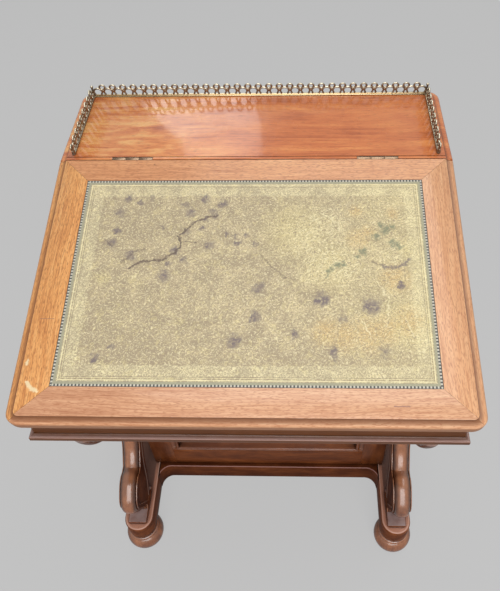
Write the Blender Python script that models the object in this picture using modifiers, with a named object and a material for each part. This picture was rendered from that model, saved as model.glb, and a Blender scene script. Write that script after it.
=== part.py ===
# A Victorian davenport desk: a sloping writing box on a small cabinet with side drawers.
# Metres, +Z up. The front faces -Y, and the origin is on the floor under the middle of the desk.

import math

import bmesh
import bpy
from mathutils import Matrix, Vector

# Fits
GAP = 0.0003  # between pieces that touch
RUN_GAP = 0.0008  # beside and above a drawer

# Lid and shelf
TOP_WIDTH = 0.532  # across the flat of the lid and the shelf
TOP_THICK = 0.022
TOP_CORNER = 0.0065  # corner radius of the flat
LID_LENGTH = 0.3673  # hinge axis to the front end of the flat
LID_SLOPE = math.radians(11.9)
SHELF_DEPTH = 0.1517  # hinge axis to the back end of the flat
EDGE_OUT = 0.0115  # moulded edge beyond the flat
EDGE_STEP = 0.0026  # drop from the flat to the moulding
EDGE_LEDGE = 0.0012
EDGE_SQUARE = 0.0054
EDGE_UNDERCUT = 0.004
STILE_WIDTH = 0.0363
FRONT_RAIL_WIDTH = 0.0348
BACK_RAIL_WIDTH = 0.0376  # from the hinge axis
LID_PANEL_THICK = 0.012
LEATHER_THICK = 0.001
LEATHER_SINK = 0.0002  # below the flat of the frame

# Hinges
HINGE_INSET = 0.094  # middle of a hinge from the side of the flat
HINGE_LENGTH = 0.057
KNUCKLE_RADIUS = 0.0024
PIN_RADIUS = 0.001
LEAF_THICK = 0.0012
LEAF_DROP = 0.015  # depth of a leaf below the axis
HEEL_GAP = 0.00105  # behind the heel of the closed lid
LIP_OUT = 0.0017  # shelf's front lip, in front of the axis
LIP_THICK = 0.004

# Gallery
GALLERY_HEIGHT = 0.0229
GALLERY_THICK = 0.002
GALLERY_SIDE_INSET = 0.0085
GALLERY_BACK_INSET = 0.004
GALLERY_START = 0.010  # behind the hinge axis
GALLERY_CORNER = 0.004
GALLERY_PITCH = 0.0165
GALLERY_BASE_RAIL = 0.0022
GALLERY_TOP_RAIL = 0.002
GALLERY_BAR = 0.0026

# Writing box
BOX_HEIGHT = 0.146  # underside to the top of the shelf
BOX_SIDE_INSET = 0.002
BOX_FRONT_INSET = 0.0105
BOX_BACK_INSET = 0.0025
BOX_WALL = 0.014
BOX_BOTTOM_THICK = 0.012
BEAD_OUT = 0.0075  # lower bead of the moulding round the box
BEAD_HIGH = 0.0082
SMALL_BEAD_OUT = 0.0045
SMALL_BEAD_HIGH = 0.0058
BEAD_CHAMFER = 0.0012

# Pigeonholes and little drawers in the box
NEST_SETBACK = 0.006  # behind the shelf's front
NEST_BOARD = 0.006
NEST_DRAWER_HIGH = 0.050
NEST_DRAWER_WALL = 0.006
NEST_KNOB_RADIUS = 0.006
NEST_KNOB_OUT = 0.010
NEST_HOLES = 4

# Cabinet
BOX_OVERHANG = 0.032  # box side beyond the cabinet side
CABINET_HEIGHT = 0.534
KNEE_SPACE = 0.1981  # box front to cabinet front
FRONT_THICK = 0.022
FRONT_STILE = 0.044
FRONT_BOTTOM_RAIL = 0.059
FRONT_TOP_RAIL = 0.050
PANEL_SET = 0.011  # panel face behind the frame face
PANEL_THICK = 0.009
PANEL_BEVEL = 0.019
PANEL_LIP = 0.004
SIDE_THICK = 0.014
BACK_THICK = 0.014
FLOOR_THICK = 0.014
DIVIDER_THICK = 0.010

# Drawers
DRAWER_COUNT = 4
DRAWER_GRADE = 0.010  # each drawer is this much deeper than the next one up
DRAWER_FRONT_THICK = 0.016
DRAWER_WALL = 0.008
DRAWER_FLOOR = 0.006
TRAY_DROP = 0.012  # tray's rim below the top of its front
TRAY_BACK_GAP = 0.004
DUMMY_RAISE = 0.003
KNOB_RADIUS = 0.016
KNOB_OUT = 0.024
KNOB_NECK = 0.008
KNOB_BASE = 0.012

# Base
FOOT_HEIGHT = 0.050
FOOT_RADIUS = 0.0362
FOOT_BASE_RADIUS = 0.028
COLLAR_RADIUS = 0.0302
COLLAR_HIGH = 0.009
PLATFORM_THICK = 0.045
RUNNER_WIDTH = 0.0554
RUNNER_INSET = 0.0143  # middle of a runner inside the box side
RUNNER_REACH = 0.1386  # runner's front end ahead of the cabinet front
RAIL_REACH = 0.0088
RAIL_DEPTH = 0.060
RAIL_HOLLOW = 0.023  # radius of the hollow beside each runner
BACK_RAIL_DEPTH = 0.024
FOOT_BACK_INSET = 0.036

# Scroll supports
BLOCK_WIDTH = 0.035
BLOCK_DEPTH = 0.072
BLOCK_HIGH = 0.006
BLOCK_SETBACK = 0.0133
SCROLL_WIDTH = 0.034
SCROLL_ROUND = 0.003

# Colour, roughness, metallic
MAHOGANY = ((0.36, 0.13, 0.05), 0.28, 0.0)
DARK_MAHOGANY = ((0.16, 0.05, 0.025), 0.30, 0.0)
LINING = ((0.50, 0.31, 0.15), 0.55, 0.0)
LEATHER = ((0.38, 0.32, 0.18), 0.62, 0.0)
BRASS = ((0.72, 0.52, 0.22), 0.32, 1.0)

# Heights, from the floor up
platform_top = FOOT_HEIGHT + PLATFORM_THICK
cabinet_low = platform_top + GAP
box_low = cabinet_low + CABINET_HEIGHT
cabinet_high = box_low - GAP
shelf_top = box_low + BOX_HEIGHT
shelf_low = shelf_top - TOP_THICK


def edge_levels():
    """The moulded edge of lid and shelf as (out, up), from the underside to the flat."""
    round_high = TOP_THICK - EDGE_STEP - EDGE_SQUARE - EDGE_UNDERCUT
    middle = -EDGE_STEP - round_high
    levels = [(EDGE_OUT - EDGE_UNDERCUT, -TOP_THICK), (EDGE_OUT, middle - EDGE_SQUARE)]
    steps = 4
    for i in range(steps + 1):
        turn = math.pi / 2 * i / steps
        out = EDGE_LEDGE + (EDGE_OUT - EDGE_LEDGE) * math.cos(turn)
        levels.append((out, middle + round_high * math.sin(turn)))
    return levels + [(0.0, -EDGE_STEP), (0.0, 0.0)]


# Depths, with the middle of the whole top at zero
axis_drop = KNUCKLE_RADIUS / 2  # the hinge axis lies just under the flat
hinge_gap = KNUCKLE_RADIUS + GAP
lid_run = LID_LENGTH * math.cos(LID_SLOPE)
lid_reach = max((LID_LENGTH + out) * math.cos(LID_SLOPE) + (axis_drop + up) * math.sin(LID_SLOPE)
                for out, up in edge_levels())
hinge_y = (lid_reach - SHELF_DEPTH - EDGE_OUT) / 2
axis_z = shelf_top - axis_drop
box_front = hinge_y - lid_run + BOX_FRONT_INSET
box_back = hinge_y + SHELF_DEPTH - BOX_BACK_INSET
cabinet_front = box_front + KNEE_SPACE
frame_back = cabinet_front + FRONT_THICK
back_panel_front = box_back - BACK_THICK

# The closed lid's heel, the lower back edge that swings clear of the shelf
heel_reach = (TOP_THICK - axis_drop) * math.sin(LID_SLOPE) - hinge_gap * math.cos(LID_SLOPE)
heel_z = axis_z - hinge_gap * math.sin(LID_SLOPE) - (TOP_THICK - axis_drop) * math.cos(LID_SLOPE)
shelf_face = heel_reach + HEEL_GAP

top_half = TOP_WIDTH / 2
box_half = top_half - BOX_SIDE_INSET
box_inner = box_half - BOX_WALL
cabinet_half = box_half - BOX_OVERHANG
runner_x = box_half - RUNNER_INSET

for leftover in list(bpy.data.objects):
    bpy.data.objects.remove(leftover)
parts = bpy.data.collections.new("davenport_desk")
cutters = bpy.data.collections.new("davenport_desk_cutters")
cutters.hide_render = True
bpy.context.scene.collection.children.link(parts)
bpy.context.scene.collection.children.link(cutters)


def lid_underside(y):
    """Height of the closed lid's underside."""
    return heel_z - (hinge_y + heel_reach - y) * math.tan(LID_SLOPE)


# Helpers

def add(name, data, finish, location=(0, 0, 0), rotation=(0, 0, 0), parent=None):
    """Links a part, with a material of its own."""
    color, roughness, metallic = finish
    material = bpy.data.materials.new(name)
    material.use_nodes = True
    shader = material.node_tree.nodes["Principled BSDF"]
    shader.inputs["Base Color"].default_value = (*color, 1.0)
    shader.inputs["Roughness"].default_value = roughness
    shader.inputs["Metallic"].default_value = metallic
    data.materials.append(material)
    obj = bpy.data.objects.new(name, data)
    obj.location = location
    obj.rotation_euler = rotation
    obj.parent = parent
    parts.objects.link(obj)
    return obj


def add_cutter(name, data, location=(0, 0, 0), rotation=(0, 0, 0), parent=None):
    obj = bpy.data.objects.new(name, data)
    obj.location = location
    obj.rotation_euler = rotation
    obj.parent = parent
    obj.hide_render = True
    obj.display_type = "WIRE"
    cutters.objects.link(obj)
    return obj


def add_empty(name, location, rotation=(0, 0, 0)):
    empty = bpy.data.objects.new(name, None)
    empty.empty_display_size = 0.05
    empty.location = location
    empty.rotation_euler = rotation
    parts.objects.link(empty)
    return empty


def mesh_of(bm, name):
    mesh = bpy.data.meshes.new(name)
    bm.to_mesh(mesh)
    bm.free()
    return mesh


def box_mesh(name, low, high):
    """A box about its own centre, and that centre."""
    low, high = Vector(low), Vector(high)
    bm = bmesh.new()
    bmesh.ops.create_cube(bm, size=1.0, matrix=Matrix.Diagonal((*(high - low), 1.0)))
    return mesh_of(bm, name), (low + high) / 2


def board(name, low, high, finish, parent=None):
    mesh, center = box_mesh(name, low, high)
    return add(name, mesh, finish, center, parent=parent)


def box_cutter(name, low, high, parent=None):
    mesh, center = box_mesh(name, low, high)
    return add_cutter(name, mesh, center, parent=parent)


def rod_mesh(name, radius, length, sides):
    """A round bar along X, about its own centre."""
    bm = bmesh.new()
    along_x = Matrix.Rotation(math.pi / 2, 4, "Y")
    bmesh.ops.create_cone(bm, cap_ends=True, segments=sides, radius1=radius, radius2=radius,
                          depth=length, matrix=along_x)
    return mesh_of(bm, name)


def boolean(obj, other, operation):
    modifier = obj.modifiers.new(f"{operation.lower()}_{other.name}", "BOOLEAN")
    modifier.operation = operation
    modifier.object = other


def soften(obj, width, segments=1, angle=math.radians(50)):
    """Rounds the sharp edges, after closing the loose caps of a curve."""
    if obj.type == "CURVE":
        weld = obj.modifiers.new("weld", "WELD")
        weld.merge_threshold = 0.00001
    bevel = obj.modifiers.new("soften", "BEVEL")
    bevel.width = width
    bevel.segments = segments
    bevel.limit_method = "ANGLE"
    bevel.angle_limit = angle


def flat_curve(name, outlines, thickness):
    """A flat outline with its holes, as a filled curve in XY."""
    curve = bpy.data.curves.new(name, "CURVE")
    curve.dimensions = "2D"
    curve.fill_mode = "BOTH"
    curve.extrude = thickness / 2
    for outline in outlines:
        spline = curve.splines.new("POLY")
        spline.points.add(len(outline) - 1)
        for point, (u, v) in zip(spline.points, outline):
            point.co = (u, v, 0.0, 1.0)
        spline.use_cyclic_u = True
    return curve


FACING_X = (math.pi / 2, 0.0, math.pi / 2)  # outline drawn in YZ
FACING_FRONT = (math.pi / 2, 0.0, 0.0)  # outline drawn in XZ, its own Z towards the front


def rectangle(x0, y0, x1, y1):
    return [(x0, y0), (x1, y0), (x1, y1), (x0, y1)]


def arc(center, radius, start, end, steps):
    """Points along a circle, with angles in degrees."""
    angles = [math.radians(start + (end - start) * i / steps) for i in range(steps + 1)]
    return [(center[0] + radius * math.cos(a), center[1] + radius * math.sin(a)) for a in angles]


def turned(name, profile, finish, steps, location=(0, 0, 0), rotation=(0, 0, 0), parent=None):
    """A profile of (radius, height), from the top down, turned about Z."""
    bm = bmesh.new()
    points = [bm.verts.new((radius, 0.0, height)) for radius, height in profile]
    for upper, lower in zip(points, points[1:]):
        bm.edges.new((upper, lower))
    mesh = mesh_of(bm, name)
    if finish:
        obj = add(name, mesh, finish, location, rotation, parent)
    else:
        obj = add_cutter(name, mesh, location, rotation, parent)
    screw = obj.modifiers.new("turn", "SCREW")
    screw.steps = steps
    screw.render_steps = steps
    screw.use_merge_vertices = True
    screw.merge_threshold = 0.00001
    return obj


def mitred(name, path, section, closed, finish, location=(0, 0, 0), rotation=(0, 0, 0)):
    """A moulding of one section (out, up) along a plan path, out to the right, with mitred corners."""
    path = [Vector(point) for point in path]
    count = len(path)
    runs = count if closed else count - 1
    rights = []
    for i in range(runs):
        along = (path[(i + 1) % count] - path[i]).normalized()
        rights.append(Vector((along.y, -along.x)))
    bm = bmesh.new()
    rings = []
    for i, point in enumerate(path):
        before = rights[i - 1] if i or closed else rights[0]
        after = rights[i % runs] if i < runs or closed else rights[-1]
        spread = (before + after) / (1.0 + before.dot(after))
        ring = []
        for out, up in section:
            place = point + spread * out
            ring.append(bm.verts.new((place.x, place.y, up)))
        rings.append(ring)
    for i in range(runs):
        here, there = rings[i], rings[(i + 1) % count]
        for j in range(len(section)):
            k = (j + 1) % len(section)
            bm.faces.new((here[j], here[k], there[k], there[j]))
    if not closed:
        bm.faces.new(rings[0])
        bm.faces.new(rings[-1])
    bmesh.ops.recalc_face_normals(bm, faces=bm.faces[:])
    return add(name, mesh_of(bm, name), finish, location, rotation)


def moulded_top(length, inner, away):
    """A board with the moulded edge on three sides. It runs from inner to length, away (+1 or -1) along Y."""
    bm = bmesh.new()
    rings = []
    for out, up in edge_levels():
        half, end, radius = top_half + out, length + out, TOP_CORNER + out
        outline = [(half, inner)]
        outline += arc((half - radius, end - radius), radius, 0, 90, 5)
        outline += arc((radius - half, end - radius), radius, 90, 180, 5)
        outline.append((-half, inner))
        rings.append([bm.verts.new((x, away * y, up)) for x, y in outline])
    for lower, upper in zip(rings, rings[1:]):
        for j in range(len(lower) - 1):
            bm.faces.new((lower[j], lower[j + 1], upper[j + 1], upper[j]))
    bm.faces.new(rings[0])
    bm.faces.new(rings[-1])
    bm.faces.new([ring[0] for ring in rings] + [ring[-1] for ring in reversed(rings)])
    bmesh.ops.recalc_face_normals(bm, faces=bm.faces[:])
    return bm


def cut_away(bm, point, normal):
    """Removes what lies on the normal's side of a plane and closes the cut."""
    everything = bm.verts[:] + bm.edges[:] + bm.faces[:]
    cut = bmesh.ops.bisect_plane(bm, geom=everything, dist=1e-6, plane_co=point, plane_no=normal,
                                 clear_outer=True)
    edges = [item for item in cut["geom_cut"] if isinstance(item, bmesh.types.BMEdge)]
    bmesh.ops.edgeloop_fill(bm, edges=edges)
    bmesh.ops.recalc_face_normals(bm, faces=bm.faces[:])


# Base

def foot_profile():
    """Collar, neck and bun, from the top down."""
    top = FOOT_HEIGHT - GAP
    neck_radius = (FOOT_BASE_RADIUS + COLLAR_RADIUS) / 2
    collar_low = top - COLLAR_HIGH
    middle = collar_low / 2
    points = [(0.0, top), (FOOT_BASE_RADIUS, top), (COLLAR_RADIUS, top - COLLAR_HIGH / 3),
              (COLLAR_RADIUS, top - 2 * COLLAR_HIGH / 3), (neck_radius, collar_low)]
    swell = FOOT_RADIUS - FOOT_BASE_RADIUS
    for degrees in (55, 25, 0, -25, -55):
        turn = math.radians(degrees)
        points.append((FOOT_BASE_RADIUS + swell * math.cos(turn), middle + middle * math.sin(turn)))
    return points + [(FOOT_BASE_RADIUS, 0.0), (0.0, 0.0)]


runner_front = cabinet_front - RUNNER_REACH
runner_half = RUNNER_WIDTH / 2
runner_inner = runner_x - runner_half
platform_middle = FOOT_HEIGHT + PLATFORM_THICK / 2
for side, sign in (("left", -1), ("right", 1)):
    outline = [(runner_half, box_back), (-runner_half, box_back)]
    outline += arc((0.0, runner_front + runner_half), runner_half, 180, 360, 12)
    runner = add(f"{side}_runner", flat_curve(f"{side}_runner", [outline], PLATFORM_THICK),
                 DARK_MAHOGANY, (sign * runner_x, 0.0, platform_middle))
    soften(runner, 0.003)
    feet = (("front", runner_front + runner_half), ("back", box_back - FOOT_BACK_INSET))
    for place, y in feet:
        turned(f"{place}_{side}_foot", foot_profile(), DARK_MAHOGANY, 20, (sign * runner_x, y, 0.0))

rail_front = cabinet_front - RAIL_REACH
rail_half = runner_inner - GAP
hollow_y = rail_front - RAIL_HOLLOW
rail_outline = [(rail_half, rail_front + RAIL_DEPTH), (-rail_half, rail_front + RAIL_DEPTH)]
rail_outline += arc((RAIL_HOLLOW - rail_half, hollow_y), RAIL_HOLLOW, 180, 90, 8)
rail_outline += arc((rail_half - RAIL_HOLLOW, hollow_y), RAIL_HOLLOW, 90, 0, 8)
add("plinth_front_rail", flat_curve("plinth_front_rail", [rail_outline], PLATFORM_THICK),
    DARK_MAHOGANY, (0.0, 0.0, platform_middle))
board("plinth_back_rail", (-rail_half, box_back - BACK_RAIL_DEPTH, FOOT_HEIGHT),
      (rail_half, box_back, platform_top), DARK_MAHOGANY)
print("base done")

# Scroll supports
# Each point is (behind the block's front, height, smooth). Heights of the foot scroll and stem are above
# the block, and those of the knee are below the box.
SCROLL_FOOT_FRONT = [(0.090, 0.209, True), (0.092, 0.159, True), (0.060, 0.117, False), (0.042, 0.1225, True),
                     (0.012, 0.109, True), (-0.008, 0.078, True), (0.000, 0.038, True), (0.024, 0.0, False)]
SCROLL_FOOT_BACK = [(0.066, 0.0, False), (0.084, 0.034, True), (0.101, 0.089, True), (0.130, 0.149, True),
                    (0.134, 0.209, True)]
SCROLL_KNEE_BACK = [(0.103, -0.232, True), (0.046, -0.140, True), (0.026, -0.070, True), (0.042, 0.0, False)]
SCROLL_KNEE_FRONT = [(-0.014, 0.0, False), (-0.032, -0.080, True), (-0.017, -0.150, True), (0.046, -0.245, True)]

block_front = runner_front + BLOCK_SETBACK
block_low = platform_top + GAP
block_top = block_low + BLOCK_HIGH


def scroll_curve(name):
    low, high = block_top + GAP, box_low - GAP
    points = [(y, low + z, smooth) for y, z, smooth in SCROLL_FOOT_FRONT + SCROLL_FOOT_BACK]
    points += [(y, high + z, smooth) for y, z, smooth in SCROLL_KNEE_BACK + SCROLL_KNEE_FRONT]
    curve = bpy.data.curves.new(name, "CURVE")
    curve.dimensions = "2D"
    curve.fill_mode = "BOTH"
    curve.resolution_u = 4
    curve.extrude = SCROLL_WIDTH / 2
    spline = curve.splines.new("BEZIER")
    spline.bezier_points.add(len(points) - 1)
    for knot, (y, z, smooth) in zip(spline.bezier_points, points):
        knot.co = (block_front + y, z, 0.0)
        knot.handle_left_type = knot.handle_right_type = "AUTO" if smooth else "VECTOR"
    spline.use_cyclic_u = True
    return curve


for side, sign in (("left", -1), ("right", 1)):
    block = board(f"{side}_support_block", (sign * runner_x - BLOCK_WIDTH / 2, block_front, block_low),
                  (sign * runner_x + BLOCK_WIDTH / 2, block_front + BLOCK_DEPTH, block_top), DARK_MAHOGANY)
    soften(block, 0.001)
    scroll = add(f"{side}_scroll_support", scroll_curve(f"{side}_scroll_support"), DARK_MAHOGANY,
                 (sign * runner_x, 0.0, 0.0), FACING_X)
    soften(scroll, SCROLL_ROUND)
print("supports done")

# Cabinet
opening_half = cabinet_half - FRONT_STILE
opening_low = cabinet_low + FRONT_BOTTOM_RAIL
opening_high = cabinet_high - FRONT_TOP_RAIL
front_outlines = [rectangle(-cabinet_half, cabinet_low, cabinet_half, cabinet_high),
                  rectangle(-opening_half, opening_low, opening_half, opening_high)]
add("cabinet_front_frame", flat_curve("cabinet_front_frame", front_outlines, FRONT_THICK), DARK_MAHOGANY,
    (0.0, cabinet_front + FRONT_THICK / 2, 0.0), FACING_FRONT)
board("cabinet_front_panel", (GAP - opening_half, cabinet_front + PANEL_SET, opening_low + GAP),
      (opening_half - GAP, cabinet_front + PANEL_SET + PANEL_THICK, opening_high - GAP), DARK_MAHOGANY)
bevel_section = [(GAP, GAP - PANEL_SET), (GAP, 0.0), (PANEL_LIP, 0.0), (PANEL_BEVEL, 2 * GAP - PANEL_SET),
                 (PANEL_BEVEL, GAP - PANEL_SET)]
bevel_path = [(-opening_half, opening_low), (-opening_half, opening_high),
              (opening_half, opening_high), (opening_half, opening_low)]
mitred("cabinet_panel_moulding", bevel_path, bevel_section, True, DARK_MAHOGANY,
       (0.0, cabinet_front, 0.0), FACING_FRONT)
board("cabinet_back_panel", (-cabinet_half, back_panel_front, cabinet_low),
      (cabinet_half, box_back, cabinet_high), DARK_MAHOGANY)

inside_front = frame_back + GAP
inside_back = back_panel_front - GAP
side_face = DUMMY_RAISE - cabinet_half
side_inner = side_face + SIDE_THICK
floor_high = cabinet_low + FLOOR_THICK
board("cabinet_floor", (side_inner + GAP, inside_front, cabinet_low),
      (cabinet_half, inside_back, floor_high), LINING)

# Drawer openings, from the bottom up, each resting on the floor or a divider
opening_mean = (cabinet_high - floor_high - (DRAWER_COUNT - 1) * DIVIDER_THICK) / DRAWER_COUNT
openings = []
height = floor_high
for number in range(DRAWER_COUNT):
    opening = opening_mean + DRAWER_GRADE * ((DRAWER_COUNT - 1) / 2 - number)
    openings.append((height, height + opening))
    height += opening + DIVIDER_THICK
for number, (_, top) in enumerate(openings[:-1], 1):
    board(f"drawer_divider_{number}", (side_inner + GAP, inside_front, top),
          (cabinet_half, inside_back, top + DIVIDER_THICK), LINING)

left_side = board("cabinet_left_side", (side_face, inside_front, cabinet_low),
                  (side_inner, inside_back, cabinet_high), DARK_MAHOGANY)
drawer_front_y = frame_back + RUN_GAP
drawer_back_y = back_panel_front - RUN_GAP


def knob_profile():
    """Mushroom knob on a short neck, from its crown down to its foot."""
    crown = KNOB_OUT
    head = KNOB_OUT / 2
    points = [(0.0, crown)]
    for degrees in (62, 34, 5):
        turn = math.radians(degrees)
        points.append((KNOB_RADIUS * math.cos(turn), head + (crown - head) * math.sin(turn)))
    return points + [(KNOB_RADIUS * 0.8, head - KNOB_OUT / 8), (KNOB_NECK, head - KNOB_OUT / 6),
                     (KNOB_NECK, KNOB_OUT / 8), (KNOB_BASE, KNOB_OUT / 12), (KNOB_BASE, 0.0), (0.0, 0.0)]


drawer_middle_y = (drawer_front_y + drawer_back_y) / 2
for number, (low, high) in enumerate(openings, 1):
    dummy = box_cutter(f"dummy_front_{number}", (-cabinet_half, drawer_front_y, low + GAP),
                       (side_face + SIDE_THICK / 2, drawer_back_y, high - RUN_GAP))
    boolean(left_side, dummy, "UNION")
    turned(f"dummy_knob_{number}", knob_profile(), DARK_MAHOGANY, 16,
           (-cabinet_half - GAP, drawer_middle_y, (low + high) / 2), (0.0, -math.pi / 2, 0.0))
print("cabinet done")


def tray(name, low, high, wall, floor, finish, parent):
    """A box open at the top."""
    mesh, center = box_mesh(name, low, high)
    bm = bmesh.new()
    bm.from_mesh(mesh)
    rim = max(bm.faces, key=lambda face: face.calc_center_median().z)
    bmesh.ops.inset_region(bm, faces=[rim], thickness=wall, use_even_offset=True)
    well = bmesh.ops.extrude_discrete_faces(bm, faces=[rim])["faces"][0]
    bmesh.ops.translate(bm, verts=well.verts, vec=(0.0, 0.0, floor - (high[2] - low[2])))
    bm.to_mesh(mesh)
    bm.free()
    return add(name, mesh, finish, center, parent=parent)


# Drawers slide out to the right, each about an empty on the middle of its front
for number, (low, high) in enumerate(openings, 1):
    rest_z = (low + high) / 2
    slide = add_empty(f"drawer_{number}_slide", (cabinet_half, drawer_middle_y, rest_z))
    half_depth = (drawer_back_y - drawer_front_y) / 2
    bottom, top = low + GAP - rest_z, high - RUN_GAP - rest_z
    board(f"drawer_front_{number}", (-DRAWER_FRONT_THICK, -half_depth, bottom), (0.0, half_depth, top),
          DARK_MAHOGANY, slide)
    tray_end = side_inner + TRAY_BACK_GAP - cabinet_half
    tray(f"drawer_tray_{number}", (tray_end, -half_depth, bottom),
         (-DRAWER_FRONT_THICK - GAP, half_depth, top - TRAY_DROP), DRAWER_WALL, DRAWER_FLOOR, LINING, slide)
    turned(f"drawer_knob_{number}", knob_profile(), DARK_MAHOGANY, 16, (GAP, 0.0, 0.0),
           (0.0, math.pi / 2, 0.0), slide)
print("drawers done")

# Writing box
apron_inner = box_front + BOX_WALL
apron_outline = [(box_front, box_low), (apron_inner, box_low), (apron_inner, lid_underside(apron_inner) - GAP),
                 (box_front, lid_underside(box_front) - GAP)]
add("box_front", flat_curve("box_front", [apron_outline], 2 * box_half), MAHOGANY, rotation=FACING_X)
side_front = apron_inner + GAP
shelf_front = hinge_y + shelf_face
side_outline = [(side_front, box_low), (box_back, box_low), (box_back, shelf_low - GAP),
                (shelf_front, shelf_low - GAP), (shelf_front, lid_underside(shelf_front) - GAP),
                (side_front, lid_underside(side_front) - GAP)]
for side, sign in (("left", -1), ("right", 1)):
    add(f"box_{side}_side", flat_curve(f"box_{side}_side", [side_outline], BOX_WALL), MAHOGANY,
        (sign * (box_half - BOX_WALL / 2), 0.0, 0.0), FACING_X)
box_inside = box_inner - GAP
box_back_inner = box_back - BOX_WALL
board("box_back", (-box_inside, box_back_inner, box_low), (box_inside, box_back, shelf_low - GAP), MAHOGANY)
bottom_high = box_low + BOX_BOTTOM_THICK
board("box_bottom", (-box_inside, side_front, box_low), (box_inside, box_back_inner - GAP, bottom_high), LINING)

bead_top = BEAD_HIGH + SMALL_BEAD_HIGH
bead_section = [(GAP, 0.0), (BEAD_OUT - BEAD_CHAMFER, 0.0), (BEAD_OUT, BEAD_CHAMFER),
                (BEAD_OUT, BEAD_HIGH - BEAD_CHAMFER), (BEAD_OUT - BEAD_CHAMFER, BEAD_HIGH),
                (SMALL_BEAD_OUT, BEAD_HIGH), (SMALL_BEAD_OUT, bead_top - BEAD_CHAMFER),
                (SMALL_BEAD_OUT - BEAD_CHAMFER, bead_top), (GAP, bead_top)]
bead_path = [(-box_half, box_back), (-box_half, box_front), (box_half, box_front), (box_half, box_back)]
mitred("box_moulding", bead_path, bead_section, False, MAHOGANY, (0.0, 0.0, box_low))

# Pigeonholes under the shelf, with two little drawers below
nest_front = shelf_front + NEST_SETBACK
nest_back = box_back_inner - GAP
nest_low = bottom_high + GAP
nest_board_low = nest_low + NEST_DRAWER_HIGH
nest_board_high = nest_board_low + NEST_BOARD
nest = board("pigeonhole_frame", (-box_inside + GAP, nest_front, nest_board_low),
             (box_inside - GAP, nest_back, nest_board_high), LINING)
half_board = NEST_BOARD / 2
nest_high = shelf_low - GAP
uprights = [(0.0, nest_low, nest_board_low + half_board)]
for hole in range(1, NEST_HOLES):
    x = 2 * box_inside * (hole / NEST_HOLES - 0.5)
    uprights.append((x, nest_board_high - half_board, nest_high))
for number, (x, low, high) in enumerate(uprights):
    upright = box_cutter(f"pigeonhole_upright_{number}", (x - half_board, nest_front, low),
                         (x + half_board, nest_back, high))
    boolean(nest, upright, "UNION")

nest_knob = [(0.0, NEST_KNOB_OUT), (NEST_KNOB_RADIUS * 0.7, NEST_KNOB_OUT * 0.93),
             (NEST_KNOB_RADIUS, NEST_KNOB_OUT * 0.7), (NEST_KNOB_RADIUS * 0.7, NEST_KNOB_OUT * 0.45),
             (NEST_KNOB_RADIUS * 0.5, NEST_KNOB_OUT * 0.25), (NEST_KNOB_RADIUS * 0.5, -half_board),
             (0.0, -half_board)]
nest_drawer_half = (box_inside - half_board) / 2 - RUN_GAP
for side, sign in (("left", -1), ("right", 1)):
    middle_x = sign * (half_board + box_inside) / 2
    rest_z = nest_low + NEST_DRAWER_HIGH / 2
    slide = add_empty(f"little_drawer_{side}_slide", (middle_x, nest_front, rest_z))
    drawer = tray(f"little_drawer_{side}", (-nest_drawer_half, 0.0, -NEST_DRAWER_HIGH / 2),
                  (nest_drawer_half, nest_back - TRAY_BACK_GAP - nest_front, NEST_DRAWER_HIGH / 2 - RUN_GAP),
                  NEST_DRAWER_WALL, NEST_DRAWER_WALL, LINING, slide)
    knob = turned(f"little_knob_{side}", nest_knob, None, 12, (0.0, 0.0, 0.0), (math.pi / 2, 0.0, 0.0), slide)
    boolean(drawer, knob, "UNION")
print("writing box done")

# Shelf and lid. The lid's pieces hang on an empty on the hinge axis, tilted with the slope.
lid_pivot = add_empty("lid_hinge_axis", (0.0, hinge_y, axis_z), (LID_SLOPE, 0.0, 0.0))
shelf_bm = moulded_top(SHELF_DEPTH, -LIP_OUT, 1)
shelf = add("shelf", mesh_of(shelf_bm, "shelf"), MAHOGANY, (0.0, hinge_y, shelf_top))
past = TOP_WIDTH  # cutters run well past the work
rebate = box_cutter("shelf_rebate", (-past, hinge_y - past, shelf_low - past),
                    (past, shelf_front, shelf_top - LIP_THICK))
boolean(shelf, rebate, "DIFFERENCE")

lid_flat = axis_drop  # the flat of the lid, above the axis
panel_half = top_half - STILE_WIDTH
panel_front = FRONT_RAIL_WIDTH - LID_LENGTH
corners = {"front": ((panel_half, panel_front), (top_half, -LID_LENGTH)),
           "back": ((panel_half, -BACK_RAIL_WIDTH), (top_half, -hinge_gap))}


def mitre(place, sign, keep):
    """Plane of a mitre on the left (-1) or right (+1), facing away from the point to keep."""
    (x0, y0), (x1, y1) = corners[place]
    start, along = Vector((sign * x0, y0, 0.0)), Vector((sign * (x1 - x0), y1 - y0, 0.0))
    normal = Vector((along.y, -along.x, 0.0)).normalized()
    if normal.dot(Vector(keep) - start) > 0:
        normal.negate()
    return start - normal * GAP / 2, normal


def lid_member(name, inner_point, inner_normal, mitres, keep):
    bm = moulded_top(LID_LENGTH, hinge_gap, -1)
    cut_away(bm, inner_point, inner_normal)
    for place, sign in mitres:
        cut_away(bm, *mitre(place, sign, keep))
    return add(name, mesh_of(bm, name), MAHOGANY, (0.0, 0.0, lid_flat), parent=lid_pivot)


lid_middle = -LID_LENGTH / 2
lid_member("lid_front_rail", (0.0, panel_front, 0.0), (0.0, 1.0, 0.0),
           [("front", -1), ("front", 1)], (0.0, -LID_LENGTH, 0.0))
back_rail = lid_member("lid_back_rail", (0.0, -BACK_RAIL_WIDTH, 0.0), (0.0, -1.0, 0.0),
                       [("back", -1), ("back", 1)], (0.0, -hinge_gap, 0.0))
for side, sign in (("left", -1), ("right", 1)):
    lid_member(f"lid_{side}_stile", (sign * panel_half, 0.0, 0.0), (-sign, 0.0, 0.0),
               [("front", sign), ("back", sign)], (sign * top_half, lid_middle, 0.0))
leather_top = lid_flat - LEATHER_SINK
panel_top = leather_top - LEATHER_THICK - GAP
board("lid_panel", (GAP - panel_half, panel_front + GAP, panel_top - LID_PANEL_THICK),
      (panel_half - GAP, -BACK_RAIL_WIDTH - GAP, panel_top), MAHOGANY, lid_pivot)
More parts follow.
